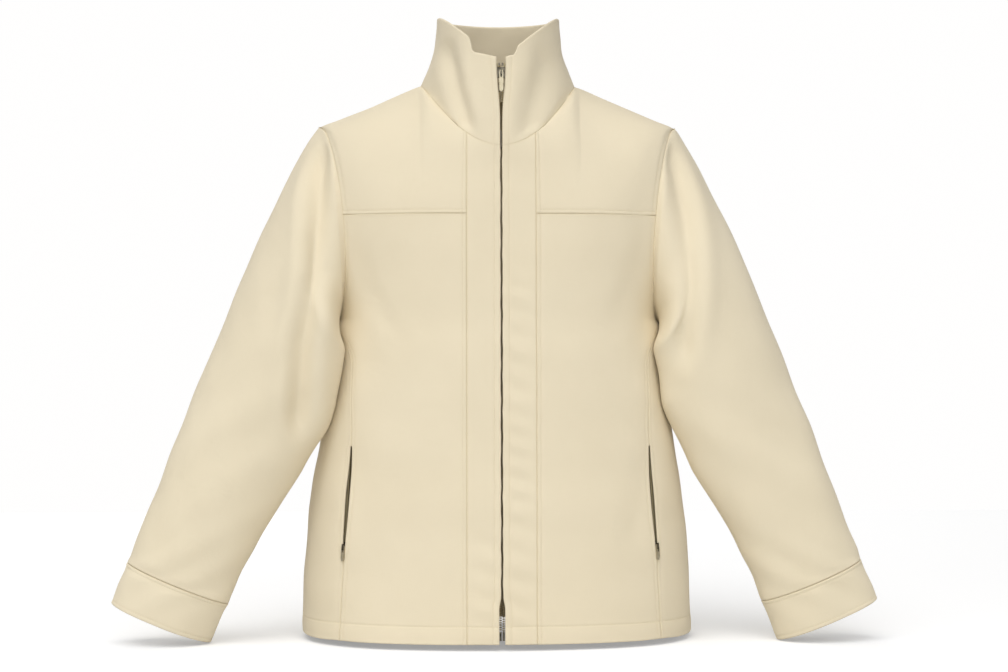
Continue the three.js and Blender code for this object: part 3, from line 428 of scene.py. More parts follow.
def woven_cloth_group():
    """Plain weave: two crossed sine waves of the threads' pitch, uneven threads, and a bump from both."""
    group = Group("woven_cloth",
                  [("Thread Pitch", "NodeSocketFloat", THREAD_PITCH), ("Relief", "NodeSocketFloat", 0.5),
                   ("Slub", "NodeSocketFloat", 0.3)],
                  [("Shade", "NodeSocketFloat"), ("Normal", "NodeSocketVector")])
    uv = group.node("ShaderNodeUVMap", {}, uv_map="cloth").outputs["UV"]
    across, up = group.node("ShaderNodeSeparateXYZ", {0: uv}).outputs[:2]
    turns = group.maths("DIVIDE", 2 * math.pi, group.source["Thread Pitch"])
    warp = group.maths("SINE", group.maths("MULTIPLY", across, turns))
    weft = group.maths("SINE", group.maths("MULTIPLY", up, turns))
    weave = group.maths("MULTIPLY_ADD", group.maths("MULTIPLY", warp, weft), 0.5, 0.5)
    streaks = []
    for scale in ((60.0, 1400.0, 1.0), (1400.0, 60.0, 1.0)):
        stretched = group.node("ShaderNodeVectorMath", {0: uv, 1: scale}, operation="MULTIPLY").outputs[0]
        streaks.append(group.node("ShaderNodeTexNoise", {"Vector": stretched, "Scale": 1.0, "Detail": 2.0},
                                  noise_dimensions="2D").outputs[0])
    slub = group.maths("MULTIPLY", group.maths("ADD", *streaks), group.source["Slub"])
    height = group.maths("ADD", weave, slub)
    bump = group.node("ShaderNodeBump", {"Strength": group.source["Relief"], "Distance": 0.00012,
                                         "Height": height})
    group.link("Shade", slub)
    group.link("Normal", bump.outputs[0])
    return group.tree


def soft_creases_group():
    """Fine handling creases: stretched noise with its ridges squared, as a bump on an incoming normal."""
    group = Group("soft_creases",
                  [("Amount", "NodeSocketFloat", 0.5), ("Size", "NodeSocketFloat", 30.0),
                   ("Normal", "NodeSocketVector", None)],
                  [("Normal", "NodeSocketVector"), ("Mask", "NodeSocketFloat")])
    place = group.node("ShaderNodeTexCoord", {}).outputs["Object"]
    noise = group.node("ShaderNodeTexNoise", {"Vector": place, "Scale": group.source["Size"], "Detail": 3.0,
                                              "Distortion": 0.6}).outputs[0]
    ridge = group.maths("ABSOLUTE", group.maths("SUBTRACT", noise, 0.5))
    mask = group.maths("POWER", group.maths("SUBTRACT", 1.0, ridge), 3.0)
    bump = group.node("ShaderNodeBump", {"Strength": group.source["Amount"], "Distance": 0.0012,
                                         "Height": mask, "Normal": group.source["Normal"]})
    group.link("Normal", bump.outputs[0])
    group.link("Mask", mask)
    return group.tree


def wear_group():
    """Patchy wear: two sizes of noise on the object's own place, as a mask from 0 to 1."""
    group = Group("patchy_wear",
                  [("Size", "NodeSocketFloat", 8.0), ("Contrast", "NodeSocketFloat", 2.0)],
                  [("Mask", "NodeSocketFloat")])
    place = group.node("ShaderNodeTexCoord", {}).outputs["Object"]
    wide = group.node("ShaderNodeTexNoise", {"Vector": place, "Scale": group.source["Size"],
                                             "Detail": 4.0}).outputs[0]
    centred = group.maths("MULTIPLY", group.maths("SUBTRACT", wide, 0.5), group.source["Contrast"])
    level = group.node("ShaderNodeClamp", {0: group.maths("ADD", centred, 0.5)})
    group.link("Mask", level.outputs[0])
    return group.tree


WOVEN, CREASES, WEAR = woven_cloth_group(), soft_creases_group(), wear_group()


class Finish:
    """A material around one Principled shader, with the shared groups wired in by name."""

    def __init__(self, name, **constants):
        self.material = bpy.data.materials.new(name)
        self.material.use_nodes = True
        self.tree = self.material.node_tree
        self.shader = self.tree.nodes["Principled BSDF"]
        for key, value in constants.items():
            self.shader.inputs[key.replace("_", " ")].default_value = value

    def use(self, tree, **values):
        node = self.tree.nodes.new("ShaderNodeGroup")
        node.node_tree = tree
        for key, value in values.items():
            self.put(value, node.inputs[key.replace("_", " ")])
        return node.outputs

    def put(self, value, socket):
        if isinstance(value, bpy.types.NodeSocket):
            self.tree.links.new(value, socket)
        else:
            socket.default_value = value

    def blend(self, share, first, second):
        node = self.tree.nodes.new("ShaderNodeMix")
        node.data_type = "RGBA"
        for value, key in ((share, 0), (first, 6), (second, 7)):
            self.put(value, node.inputs[key])
        return node.outputs[2]

    def attribute(self, name, scale):
        node = self.tree.nodes.new("ShaderNodeAttribute")
        node.attribute_name = name
        return self.scaled(node.outputs["Fac"], scale)

    def scaled(self, socket, scale):
        times = self.tree.nodes.new("ShaderNodeMath")
        times.operation = "MULTIPLY"
        times.inputs[1].default_value = scale
        self.tree.links.new(socket, times.inputs[0])
        return times.outputs[0]


# share of painted seam shade: how far the cloth beside seams is darkened towards its deep colour
PAINTED_SEAM_SHADE = 0.2


def cotton_finish(name, colour, deep, pitch=THREAD_PITCH, relief=0.45, creases=0.25):
    """Matt woven cotton, darkened by painted seam shade beside its seams, and a little darker where handling
    has left it patchy.
    """
    finish = Finish(name, Roughness=0.92, Sheen_Weight=0.12, Sheen_Roughness=0.6, Specular_IOR_Level=0.2)
    weave = finish.use(WOVEN, Thread_Pitch=pitch, Relief=relief, Slub=0.3)
    patches = finish.use(WEAR, Size=7.0, Contrast=1.6)
    worn = finish.blend(finish.scaled(patches["Mask"], 0.16), colour, deep)
    threads = finish.blend(finish.scaled(weave["Shade"], 0.18), worn, deep)
    # painted seam shade: the sewn attribute darkens the colour towards the deep colour beside seams
    sewn = finish.blend(finish.attribute("sewn", PAINTED_SEAM_SHADE), threads, deep)
    finish.put(sewn, finish.shader.inputs["Base Color"])
    soft = finish.use(CREASES, Amount=creases, Size=26.0, Normal=weave["Normal"])
    finish.put(soft["Normal"], finish.shader.inputs["Normal"])
    return finish.material


def thread_finish(name, colour, deep):
    """Twisted sewing thread: a soft sheen and patches of wear."""
    finish = Finish(name, Roughness=0.7, Sheen_Weight=0.2, Specular_IOR_Level=0.3)
    patches = finish.use(WEAR, Size=60.0, Contrast=2.0)
    finish.put(finish.blend(finish.scaled(patches["Mask"], 0.5), colour, deep),
               finish.shader.inputs["Base Color"])
    return finish.material


def metal_finish(name, colour, rubbed, roughness):
    """Plated brass, rubbed lighter in patches, with finely scratched faces."""
    finish = Finish(name, Metallic=0.9, Roughness=roughness)
    patches = finish.use(WEAR, Size=220.0, Contrast=3.0)
    finish.put(finish.blend(finish.scaled(patches["Mask"], 0.6), colour, rubbed),
               finish.shader.inputs["Base Color"])
    scratches = finish.use(CREASES, Amount=0.12, Size=900.0)
    finish.put(scratches["Normal"], finish.shader.inputs["Normal"])
    return finish.material


COTTON = cotton_finish("cream_cotton", linear(236, 224, 197), linear(196, 178, 138))
COTTON_INSIDE = cotton_finish("cream_cotton_inside", linear(230, 217, 188), linear(190, 172, 132))
TAPE = cotton_finish("zip_tape_cloth", linear(188, 175, 138), linear(140, 126, 92), pitch=0.0008,
                     relief=0.8, creases=0.0)
LABEL = cotton_finish("label_satin", linear(244, 241, 234), linear(205, 198, 184), pitch=0.0004,
                      relief=0.3, creases=0.1)
THREAD = thread_finish("cream_thread", linear(232, 219, 190), linear(196, 180, 144))
TEETH = metal_finish("antique_brass", linear(112, 97, 64), linear(168, 150, 108), 0.38)
GUNMETAL = metal_finish("gunmetal", linear(66, 61, 52), linear(138, 131, 115), 0.34)
PULL_METAL = metal_finish("pull_nickel", linear(176, 166, 140), linear(208, 199, 176), 0.42)


# ---------------------------------------------------------------- drape of the cloth

def ladder(length, coarse, spans, fine=0.8):
    """Shares 0 to 1 of a length: coarse steps throughout, and fine steps inside each span."""
    marks = [np.linspace(0.0, length, int(length / coarse) + 2)]
    for low, high in spans:
        marks.append(np.arange(max(low, 0.0), min(high, length), fine))
    marks = np.sort(np.concatenate(marks))
    kept = np.concatenate([[True], np.diff(marks) > 0.5 * fine])
    marks = marks[kept]
    marks[-1] = length
    return marks / length


def respaced(grid, shares):
    """Each row of a dense grid cut again at the given shares of its own length."""
    run = lengths(grid, 1)
    rows = []
    for line, far in zip(grid, run):
        at = shares * far[-1]
        rows.append(np.stack([np.interp(at, far, line[:, axis]) for axis in range(3)], axis=-1))
    return np.array(rows)


def ripple_down(points, x, low, high, pitch, amount, width, seed):
    """Short level creases beside an upright line at x, between two heights."""
    draw = np.random.default_rng(seed)
    across = bell(points[..., 0] - x, width)
    inside = smooth((points[..., 2] - low) / 40.0) * smooth((high - points[..., 2]) / 40.0)
    phase = draw.uniform(0, 6)
    slant = points[..., 2] + 0.35 * (points[..., 0] - x) + 5.0 * np.sin(points[..., 2] / 37.0 + phase)
    return amount * across * inside * np.sin(slant * 2 * math.pi / pitch)


def fold_along(points, path, width, depth, ends=40.0):
    """A long soft valley: path lists (height, x) from its top down, and depth fades at both ends."""
    path = np.array(path)[::-1]
    x = np.interp(points[..., 2], path[:, 0], path[:, 1])
    low, high = path[0, 0], path[-1, 0]
    inside = smooth((points[..., 2] - low + ends) / ends) * smooth((high + ends - points[..., 2]) / ends)
    off = (points[..., 0] - x) / width
    return depth * inside * (-np.exp(-off * off) + 0.35 * np.exp(-(np.abs(off) - 1.9) ** 2))


def seam_rings():
    """Points along the neck seam and the left armhole, front and back."""
    angle = np.linspace(0, math.pi, 90)
    x = NECK_HALF_WIDTH * np.sin(angle / 2)
    neck = [np.stack([x, *line_top(face, x)], axis=-1) for face in (FRONT, BACK)]
    z = (TIP_Z + UNDERARM_Z) / 2 - (TIP_Z - UNDERARM_Z) / 2 * np.cos(angle)
    arm = [np.stack([*armhole_point(face, z), z], axis=-1) for face in (FRONT, BACK)]
    return np.concatenate(neck + arm)


SEAM_RINGS = seam_rings()


def calm_near_rings(points, reach=24.0):
    """0 on the neck and armhole seams, rising to 1 at the given distance from them."""
    folded = points * 1.0
    folded[..., 0] = np.abs(folded[..., 0])
    nearest = np.full(points.shape[:-1], 1e9)
    for ring in SEAM_RINGS:
        nearest = np.minimum(nearest, ((folded - ring) ** 2).sum(axis=-1))
    return smooth((np.sqrt(nearest) - 1.5) / reach)


def torso_drape(points):
    """Height of the torso's cloth over its smooth shape, from signed places: soft swells and drag lines."""
    height = waves(points, 11, 150.0, 2.2) + waves(points, 12, 62.0, 1.0)
    front = smooth((20.0 - points[..., 1]) / 40.0)
    folds = ripple_down(points, 19.0, 0.0, 430.0, 27.0, 0.75, 16.0, 3)
    folds = folds + ripple_down(points, -19.0, 0.0, 150.0, 31.0, 0.6, 16.0, 4)
    folds = folds + fold_along(points, [(452, -172), (400, -150), (345, -118)], 11.0, 1.1)
    folds = folds + fold_along(points, [(470, 172), (420, 155), (370, 132)], 12.0, 0.8)
    folds = folds + fold_along(points, [(330, -186), (230, -178), (110, -150)], 14.0, 1.0)
    folds = folds + fold_along(points, [(330, 186), (220, 176), (120, 150)], 14.0, 1.0)
    return calm_near_rings(points) * (height + front * folds)


def draped(cloth, side, drape=torso_drape, fade=()):
    """Raises the cloth by its drape, fading towards edges that must stay on a neighbour's seam."""
    height = drape(cloth.points * np.array([side, 1.0, 1.0]))
    for edge in fade:
        height = height * smooth(cloth.distance[edge] / 12.0)
    cloth.raise_by(height)
    return cloth


# ---------------------------------------------------------------- torso panels

def strip_heights(rows, low, top):
    """Even heights up to the yoke seam, then closer together up to the neck."""
    turn = FRONT_YOKE_Z / (NECK_FRONT_Z + 12.0)
    climb = np.clip((rows - turn) / (1 - turn), 0.0, 1.0)
    return np.where(rows <= turn, mix(low, FRONT_YOKE_Z, rows / turn),
                    FRONT_YOKE_Z + (top - FRONT_YOKE_Z) * np.sin(climb * math.pi / 2))


HEM_ROWS = [(0, 3), (HEM_TURN - 3, HEM_TURN + 3)]
CLOSED_SLIT_HALF, OPEN_SLIT_HALF = 0.95, 3.2
SLIT_CLOSES_AT, SLIT_CLOSES_OVER = 54.0, 14.0


BAND_LENGTH = 575.0


def front_band(side):
    """The zip edge wavers, and stands open beside the slider's lowest place."""
    rows = ladder(BAND_LENGTH, 4, HEM_ROWS + [(BAND_LENGTH - 9, BAND_LENGTH)])[:, None]
    height = rows * BAND_LENGTH
    waver = 0.22 * np.sin(height / 7.3 + side) + 0.16 * np.sin(height / 3.1 + 2 * side)
    edge = mix(CLOSED_SLIT_HALF + waver, OPEN_SLIT_HALF, smooth((SLIT_CLOSES_AT - height) / SLIT_CLOSES_OVER))
    x = mix(edge, BAND_SEAM_X - SEAM_GAP / 2, ladder(38, 3, [(0, 11), (33, 38)])[None, :])
    top_y, top_z = line_top(FRONT, x)
    z = strip_heights(rows, 0.0, top_z - SEAM_GAP / 2)
    return draped(Cloth(rounded_point(FRONT, x, z, top_y, top_z)), side)


SIDE_FRONT_X, SIDE_FRONT_HEM_X, SIDE_FRONT_TURN_Z, SIDE_FRONT_BEND_Z = 171.3, 184.0, 240.0, 315.0
SIDE_FRONT_SHARE_TOP = 0.18
FRONT_DEPTH = float(SIDE_Y - centre_y(FRONT, UNDERARM_Z))
SIDE_FRONT_TOP_REACH = FRONT_DEPTH * SIDE_FRONT_SHARE_TOP / ARM_DEPTH[FRONT]


def armhole_low(reach):
    return (TIP_Z + UNDERARM_Z) / 2 - (TIP_Z - UNDERARM_Z) / 2 * np.sqrt(1 - reach * reach)


SIDE_FRONT_TOP_Z = float(armhole_low(SIDE_FRONT_TOP_REACH))


def side_front_share(z):
    """Depth share of the side-front seam: slanted below, upright, then bent back to the armhole."""
    x = mix(SIDE_FRONT_X, SIDE_FRONT_HEM_X, np.clip((SIDE_FRONT_TURN_Z - z) / SIDE_FRONT_TURN_Z, 0, 1))
    share = (1 - (x / side_half_width(z)) ** SECTION_POWER) ** (1 / SECTION_POWER)
    bend = np.clip((z - SIDE_FRONT_BEND_Z) / (SIDE_FRONT_TOP_Z - SIDE_FRONT_BEND_Z), 0, 1) ** 2
    return mix(share, SIDE_FRONT_SHARE_TOP, bend)


POCKET_END_GAP, POCKET_LENS = 1.2, 1.5


def pocket_gap(z):
    """Half the opening of the side-front seam: a lens along the pocket and a plain seam elsewhere."""
    along = (z - POCKET_LOW) / (POCKET_HIGH - POCKET_LOW)
    lens = POCKET_END_GAP + POCKET_LENS * np.sin(math.pi * np.clip(along, 0, 1))
    return np.where((along <= 0) | (along >= 1), SEAM_GAP / 2, lens)


def angle_step(face, angle, z, distance):
    """Change of the section's angle that moves a point by a distance along the cloth."""
    small = 0.001
    step = section_point(face, angle, z) - section_point(face, angle - small, z)
    return distance * small / np.linalg.norm(step, axis=-1)


POCKET_ROWS = [(POCKET_LOW - 2, POCKET_LOW + 2), (POCKET_HIGH - 2, POCKET_HIGH + 2)]


PANEL_HEIGHT, BACK_HEIGHT = FRONT_YOKE_Z - 0.2, BACK_YOKE_Z - 0.2


def front_panel(side):
    z = (ladder(PANEL_HEIGHT, 4, HEM_ROWS + POCKET_ROWS + [(476, 485)]) * PANEL_HEIGHT)[:, None]
    share = np.where(z < SIDE_FRONT_TOP_Z, side_front_share(np.minimum(z, SIDE_FRONT_TOP_Z)),
                     edge_share(FRONT, z))
    outer = angle_of_share(share)
    outer = outer - angle_step(FRONT, outer, z, pocket_gap(z))
    inner = angle_of_x(FRONT, BAND_SEAM_X + SEAM_GAP / 2, z)
    dense = section_point(FRONT, mix(inner, outer, np.linspace(0, 1, 240)[None, :]), z)
    columns = ladder(140, 4, [(0, 9), (131, 140)])
    inside = smooth((1.0 - columns) * 140.0 / 30.0)[None, :, None]
    return draped(Cloth(eased(respaced(dense, columns), 40, inside)), side)


def side_panel(side):
    rows = ladder(365, 4, HEM_ROWS + POCKET_ROWS + [(358, 365)])[:, None]
    seam_z = rows * SIDE_FRONT_TOP_Z
    seam = angle_of_share(side_front_share(seam_z))
    start = seam + angle_step(FRONT, seam, seam_z, pocket_gap(seam_z))
    start_share = np.cos(start) ** (2 / SECTION_POWER)
    u = np.linspace(0, 1, 240)[None, :]
    z = rows * armhole_low(SIDE_FRONT_TOP_REACH * (1 - u))
    dense = section_point(FRONT, angle_of_share(start_share * (1 - u)), z)
    return draped(Cloth(eased(respaced(dense, ladder(70, 4, [(0, 9), (64, 70)])), 12)), side)


def back_panel():
    z = (ladder(BACK_HEIGHT, 4, HEM_ROWS + [(511, 520)]) * BACK_HEIGHT)[:, None]
    edge = angle_of_share(edge_share(BACK, z))
    dense = section_point(BACK, mix(edge, -edge, np.linspace(0, 1, 600)[None, :]), z)
    return draped(Cloth(eased(respaced(dense, ladder(500, 5, [(0, 9), (491, 500)])), 60)), 1)


def yoke_grid(face, start_x, start_z, breadth, rows):
    """Lines run up to the neck seam over the first half of the breadth, then to the shoulder."""
    climb = np.sin(rows * math.pi / 2)
    on_neck = breadth < 0.5
    start = math.asin(start_x / NECK_HALF_WIDTH)
    neck_x = NECK_HALF_WIDTH * np.sin(mix(start, math.pi / 2, np.clip(breadth / 0.5, 0, 1)))
    across = np.clip((breadth - 0.5) / 0.5, 0, 1)
    top_x = np.where(on_neck, neck_x, mix(NECK_HALF_WIDTH, TIP_X, across))
    top_y, top_z = line_top(face, top_x)
    top_z = top_z - np.where(on_neck, SEAM_GAP / 2, 0.0)
    z = mix(start_z, top_z, climb)
    x = np.where(on_neck, top_x, mix(NECK_HALF_WIDTH, armhole_point(face, z)[0] - SEAM_GAP, across))
    seam_y = top_y + face * np.where(on_neck, 0.0, SEAM_GAP)
    return rounded_point(face, x, z, seam_y, top_z, np.where(on_neck, 0.0, across))


def eased(grid, passes=40, share=1.0):
    """Inner points drawn towards the straight line between their neighbours, keeping their spacing."""
    start = grid.copy()
    for _ in range(passes):
        for axis in (0, 1):
            line = np.moveaxis(grid, axis, 0)
            low, here, high = line[:-2], line[1:-1], line[2:]
            before = np.linalg.norm(here - low, axis=-1, keepdims=True)
            after = np.linalg.norm(high - here, axis=-1, keepdims=True)
            straight = (low * after + high * before) / np.maximum(before + after, 1e-9)
            moved = here[:, 1:-1] + 0.35 * (straight - here)[:, 1:-1]
            line[1:-1, 1:-1] = moved
    return mix(start, grid, share)


def front_yoke(side):
    breadth = ladder(190, 3.5, [(0, 9), (181, 190)])[None, :]
    rows = ladder(160, 3.5, [(0, 9), (151, 160)])[:, None]
    grid = yoke_grid(FRONT, BAND_SEAM_X + SEAM_GAP / 2, FRONT_YOKE_Z + SEAM_GAP / 2, breadth, rows)
    return draped(Cloth(eased(grid)), side)


def back_yoke():
    breadth = 1 - 2 * ladder(430, 4, [(0, 9), (421, 430)])[None, :]
    rows = ladder(150, 3.5, [(0, 9), (141, 150)])[:, None]
    grid = yoke_grid(BACK, 0.0, BACK_YOKE_Z + SEAM_GAP / 2, np.abs(breadth), rows)
    grid[..., 0] = grid[..., 0] * np.sign(breadth + 1e-9)
    return draped(Cloth(eased(grid)), 1)


# ---------------------------------------------------------------- collar

COLLAR_HALF_WIDTH, COLLAR_FRONT_Z, COLLAR_TOP_Z = 72.0, 662.0, 719.0
COLLAR_MID_Y, COLLAR_BACK_Y, COLLAR_SEAM_GAP = -2.0, 60.0, -0.6
SLIT_HALF, SLIT_TOP_HALF, SLIT_OPENS_AT = 1.1, 5.2, 590.0
# the corner beside the zip: its angle, the height of its step and the rise up to it
STEP_ANGLE = {"left": math.radians(14), "right": math.radians(28.5)}
STEP_HEIGHT = {"left": 8.0, "right": 15.0}
STEP_APPROACH = {"left": 5.0, "right": 8.5}


def slit_half(z):
    opened = smooth((z - SLIT_OPENS_AT) / (COLLAR_FRONT_Z - SLIT_OPENS_AT))
    return mix(SLIT_HALF, SLIT_TOP_HALF, opened)


def collar_seam(angle):
    x = NECK_HALF_WIDTH * np.sin(angle)
    front = np.cos(angle) > 0
    breadth = np.minimum(np.abs(x), NECK_HALF_WIDTH - 1e-6)
    front_y, front_z = line_top(FRONT, breadth)
    back_y, back_z = line_top(BACK, breadth)
    return np.stack([x, np.where(front, front_y, back_y), np.where(front, front_z, back_z)], axis=-1)


def collar_top(angle):
    """Top edge: an oval that rises a little from the zip to a sharp step, then in a straight slope to the
    side. The step is farther from the zip on the wearer's right side, and deeper."""
    turn = np.abs((angle + math.pi) % (2 * math.pi) - math.pi)
    left = np.sin(angle) > 0
    front = np.cos(turn) > 0
    middle_y = np.where(front, FRONT_HEM_Y + FRONT_LEAN * COLLAR_FRONT_Z, COLLAR_BACK_Y)
    y = mix(COLLAR_MID_Y, middle_y, np.abs(np.cos(turn)))
    corner = np.where(left, STEP_ANGLE["left"], STEP_ANGLE["right"])
    height = np.where(left, STEP_HEIGHT["left"], STEP_HEIGHT["right"])
    approach = np.where(left, STEP_APPROACH["left"], STEP_APPROACH["right"])
    step = height * smooth((turn - corner) / math.radians(4) + 0.5)
    to_corner = approach * np.where(front, np.clip(np.sin(turn) / np.sin(corner), 0, 1), 1.0)
    slope = COLLAR_TOP_Z - COLLAR_FRONT_Z - height - approach
    out = np.where(front, np.clip((np.sin(turn) - np.sin(corner)) / (1 - np.sin(corner)), 0, 1), 1.0)
    z = COLLAR_FRONT_Z + to_corner + step + slope * out
    return np.stack([COLLAR_HALF_WIDTH * np.sin(angle), y, z], axis=-1)


def collar_drape(points):
    """Dents of the standing collar: a narrow one beside the zip on the right side, a broad one on the left."""
    front = smooth((-10.0 - points[..., 1]) / 40.0)
    folds = fold_along(points, [(668, -59), (630, -50), (592, -40)], 8.0, 4.5, 26.0)
    folds = folds + fold_along(points, [(658, 50), (622, 42), (594, 34)], 13.0, 4.5, 30.0)
    folds = folds + fold_along(points, [(654, 22), (620, 24), (585, 26)], 12.0, 0.7, 24.0)
    return front * folds + waves(points, 21, 60.0, 0.9) + waves(points, 22, 24.0, 0.22)


def collar():
    rows = ladder(100, 2.4, [(0, 8), (90, 100)])[:, None]
    z_here = mix(NECK_FRONT_Z, COLLAR_FRONT_Z, rows)
    edge = np.arcsin(slit_half(z_here) / mix(NECK_HALF_WIDTH, COLLAR_HALF_WIDTH, rows))
    u = ladder(540, 3, [(0, 11), (529, 540)])[None, :]
    angle = mix(edge, 2 * math.pi - edge, u)
    seam, top = collar_seam(angle), collar_top(angle)
    spread = (1 - rows) ** (1 + 1.2 * np.sin(angle) ** 2)
    x = mix(top[..., 0], seam[..., 0], spread)
    y = mix(top[..., 1], seam[..., 1], spread)
    z = mix(seam[..., 2] + COLLAR_SEAM_GAP, top[..., 2], rows)
    return draped(Cloth(np.stack([x, y, z], axis=-1)), 1, collar_drape, fade=("low", "left", "right"))


# ---------------------------------------------------------------- sleeves

CUFF_OUTER, CUFF_INNER = np.array([444.0, -50.0, 40.0]), np.array([329.0, -50.0, -7.0])
HEAD_END, CUFF_START = 0.3, 0.917
SLEEVE_LENGTH = 603.0
ROUND = 180
BULGE, BULGE_WAY = 9.0, np.array([0.92, 0.0, 0.4])
HEAD_DEPTH, CUFF_DEPTH = 62.0, 36.0
SLEEVE_TUCK, SLEEVE_STEP_OUT = 1.2, 3.4    # the head starts under the torso's edge, then stands off it
LEFT_CLOSER = 9.0


def sleeve_outer(d):
    """Outer line: straight from the shoulder tip to the cuff, bowed out by a sine of the square root."""
    start = np.array([TIP_X, SIDE_Y, TIP_Z])
    straight = start + (CUFF_OUTER - start) * d[..., None]
    bulge = BULGE * np.sin(math.pi * np.sqrt(d))
    return straight + bulge[..., None] * BULGE_WAY


def sleeve_inner(d):
    """Inner line: it lies down the side of the torso, then leaves it for the cuff."""
    outer = sleeve_outer(d)
    square = CUFF_OUTER[2] - CUFF_INNER[2] + 8 * (1 - d)
    start_drop = TIP_Z - UNDERARM_Z - square
    z = outer[..., 2] - square - start_drop * np.clip(1 - d / 0.62, 0, 1) ** 1.6
    y = mix(SIDE_Y, CUFF_INNER[1], smooth(d / 0.25))
    share = np.clip((y - SIDE_Y) / (centre_y(FRONT, z) - SIDE_Y), 0, 1)
    along = side_half_width(z) * (1 - share ** SECTION_POWER) ** (1 / SECTION_POWER) + 0.8
    free = CUFF_INNER[0] - 0.513 * (z - CUFF_INNER[2]) + 7 * np.sin(math.pi * np.clip(z / 190, 0, 1))
    x = np.maximum(along, free) + 12 * 0.3 * np.exp(-np.abs(along - free) / 12)
    settle = smooth(d / 0.08)
    return np.stack([mix(UNDERARM_X, x, settle), y, z], axis=-1)


def sleeve_point(d, angle):
    """Around the sleeve, 0 is the outer line, a quarter turn the front and a half turn the inner line."""
    outer, inner = sleeve_outer(d), sleeve_inner(d)
    settle = smooth(d / HEAD_END)
    depth = mix(HEAD_DEPTH, CUFF_DEPTH, np.clip((d - 0.15) / 0.85, 0, 1))
    sine = np.sin(angle)
    front = sine > 0
    scoop = np.where(front, SCOOP[FRONT], SCOOP[BACK]) * (1 - settle)
    start_depth = np.where(front, ARM_DEPTH[FRONT], ARM_DEPTH[BACK])
    reach = np.abs(sine)
    share = ((1 + np.cos(angle)) / 2)[..., None]
    point = inner + (outer - inner) * share
    point[..., 0] += SLEEVE_STEP_OUT * smooth(d / 0.1) - SLEEVE_TUCK - scoop * reach
    point[..., 1] += np.where(front, -1, 1) * mix(start_depth, depth, settle) * reach
    return point


def sleeve_drape(points):
    """Folds of the hanging sleeve, from signed places: a long dent below the armhole and soft cross folds."""
    plain = points * 1.0
    plain[..., 0] = np.abs(points[..., 0])
    left = points[..., 0] > 0
    front = smooth((-15.0 - points[..., 1]) / 30.0)
    dent = np.where(
        left,
        fold_along(plain, [(555, 206), (480, 214), (405, 216), (345, 208)], 13.0, 9.0, 50.0),
        fold_along(plain, [(545, 210), (480, 210), (420, 210), (340, 225), (262, 228)], 12.0, 11.0, 50.0),
    )
    cross = plain[..., 2] * 0.8 + plain[..., 0] * 0.45
    elbow = bell(points[..., 2] - 230.0, 95.0)
    folds = 1.1 * elbow * np.sin(cross * 2 * math.pi / 58.0 + np.where(left, 0.8, 2.4))
    wrist = bell(points[..., 2] - 75.0, 45.0)
    folds = folds + 0.9 * wrist * np.sin(cross * 2 * math.pi / 34.0 + np.where(left, 2.0, 0.3))
    soft = waves(points, 31, 130.0, 2.4) + waves(points, 32, 55.0, 1.0)
    return front * dent + (0.4 + 0.6 * front) * folds + soft


def hung_closer(points, side):
    """The wearer's left sleeve hangs a little nearer to the body than the right one, most at the cuff."""
    closer = np.array([LEFT_CLOSER if side > 0 else 0.0, 0.0, 0.0])
    return points - closer * smooth((470.0 - points[..., 2:3]) / 600.0)


def pressed_to_side(points, clearance=0.7, grip=12.0):
    """Below the underarm, the gap g from the torso's side shrinks by g * exp(-g / grip)."""
    y, z = points[..., 1], points[..., 2]
    face_y = np.where(y < SIDE_Y, centre_y(FRONT, z), BACK_Y)
    share = np.clip((y - SIDE_Y) / (face_y - SIDE_Y), 0.0, 1.0)
    wall = side_half_width(z) * (1 - share ** SECTION_POWER) ** (1 / SECTION_POWER) + clearance
    gap = np.maximum(points[..., 0] - wall, 0.0)
    low = smooth((UNDERARM_Z + 25.0 - z) / 45.0) * (share < 0.9)
    closer = gap * np.exp(-gap / grip) * low
    return points - closer[..., None] * np.array([1.0, 0.0, 0.0])


def sleeve(side):
    """The whole tube above the cuff, with the rows' shares of the sleeve's length."""
    long = CUFF_START * SLEEVE_LENGTH
    rows = ladder(long, 4, [(0, 7), (long - 9, long)]) * (CUFF_START - 0.0005)
    angle = np.linspace(0, 2 * math.pi, ROUND + 1)[None, :]
    tube = Cloth(hung_closer(pressed_to_side(sleeve_point(rows[:, None], angle)), side), ring=True)
    return draped(tube, side, sleeve_drape, fade=("low", "high")), rows


def cuff(side):
    d = mix(CUFF_START, 1.0, ladder(50, 4, [(0, 12), (38, 50)]))[:, None]
    angle = np.linspace(0, 2 * math.pi, ROUND + 1)[None, :]
    return draped(Cloth(hung_closer(sleeve_point(d, angle), side), ring=True), side, sleeve_drape,
                  fade=("low",))


def bend_with_arm(piece):
    """Moves the sleeve's placement into its mesh; the sleeve is not bent with the arm."""
    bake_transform(piece)


# ---------------------------------------------------------------- linings, loop and pockets

def below(cloth, depth):
    """The same grid moved in behind the outer cloth."""
    return Cloth(cloth.points - cloth.normal * depth)


TEETH_OUTER, TAPE_WIDTH, ZIP_DEPTH = 2.9, 12.0, 5.4
POCKET_TEETH_OUTER, POCKET_TAPE_WIDTH, POCKET_ZIP_DEPTH = 2.4, 9.0, 7.0
ZIP_GAP = 0.4
FACING_FROM_ZIP, FACING_WIDTH = TEETH_OUTER + TAPE_WIDTH + 1.5, 34.0
NECK_FACING_DEPTH = CLOTH + 3.0
NECK_FACING_LOW, LABEL_LOW, LABEL_HIGH, LABEL_HALF_WIDTH = 566.0, 578.0, 600.0, 17.0
LOOP_HEIGHT, LOOP_HALF_WIDTH, LOOP_LEG, LOOP_CURVE = 650.0, 24.0, 16.0, 5.0
LOOP_CURVE_LOW = -3.4


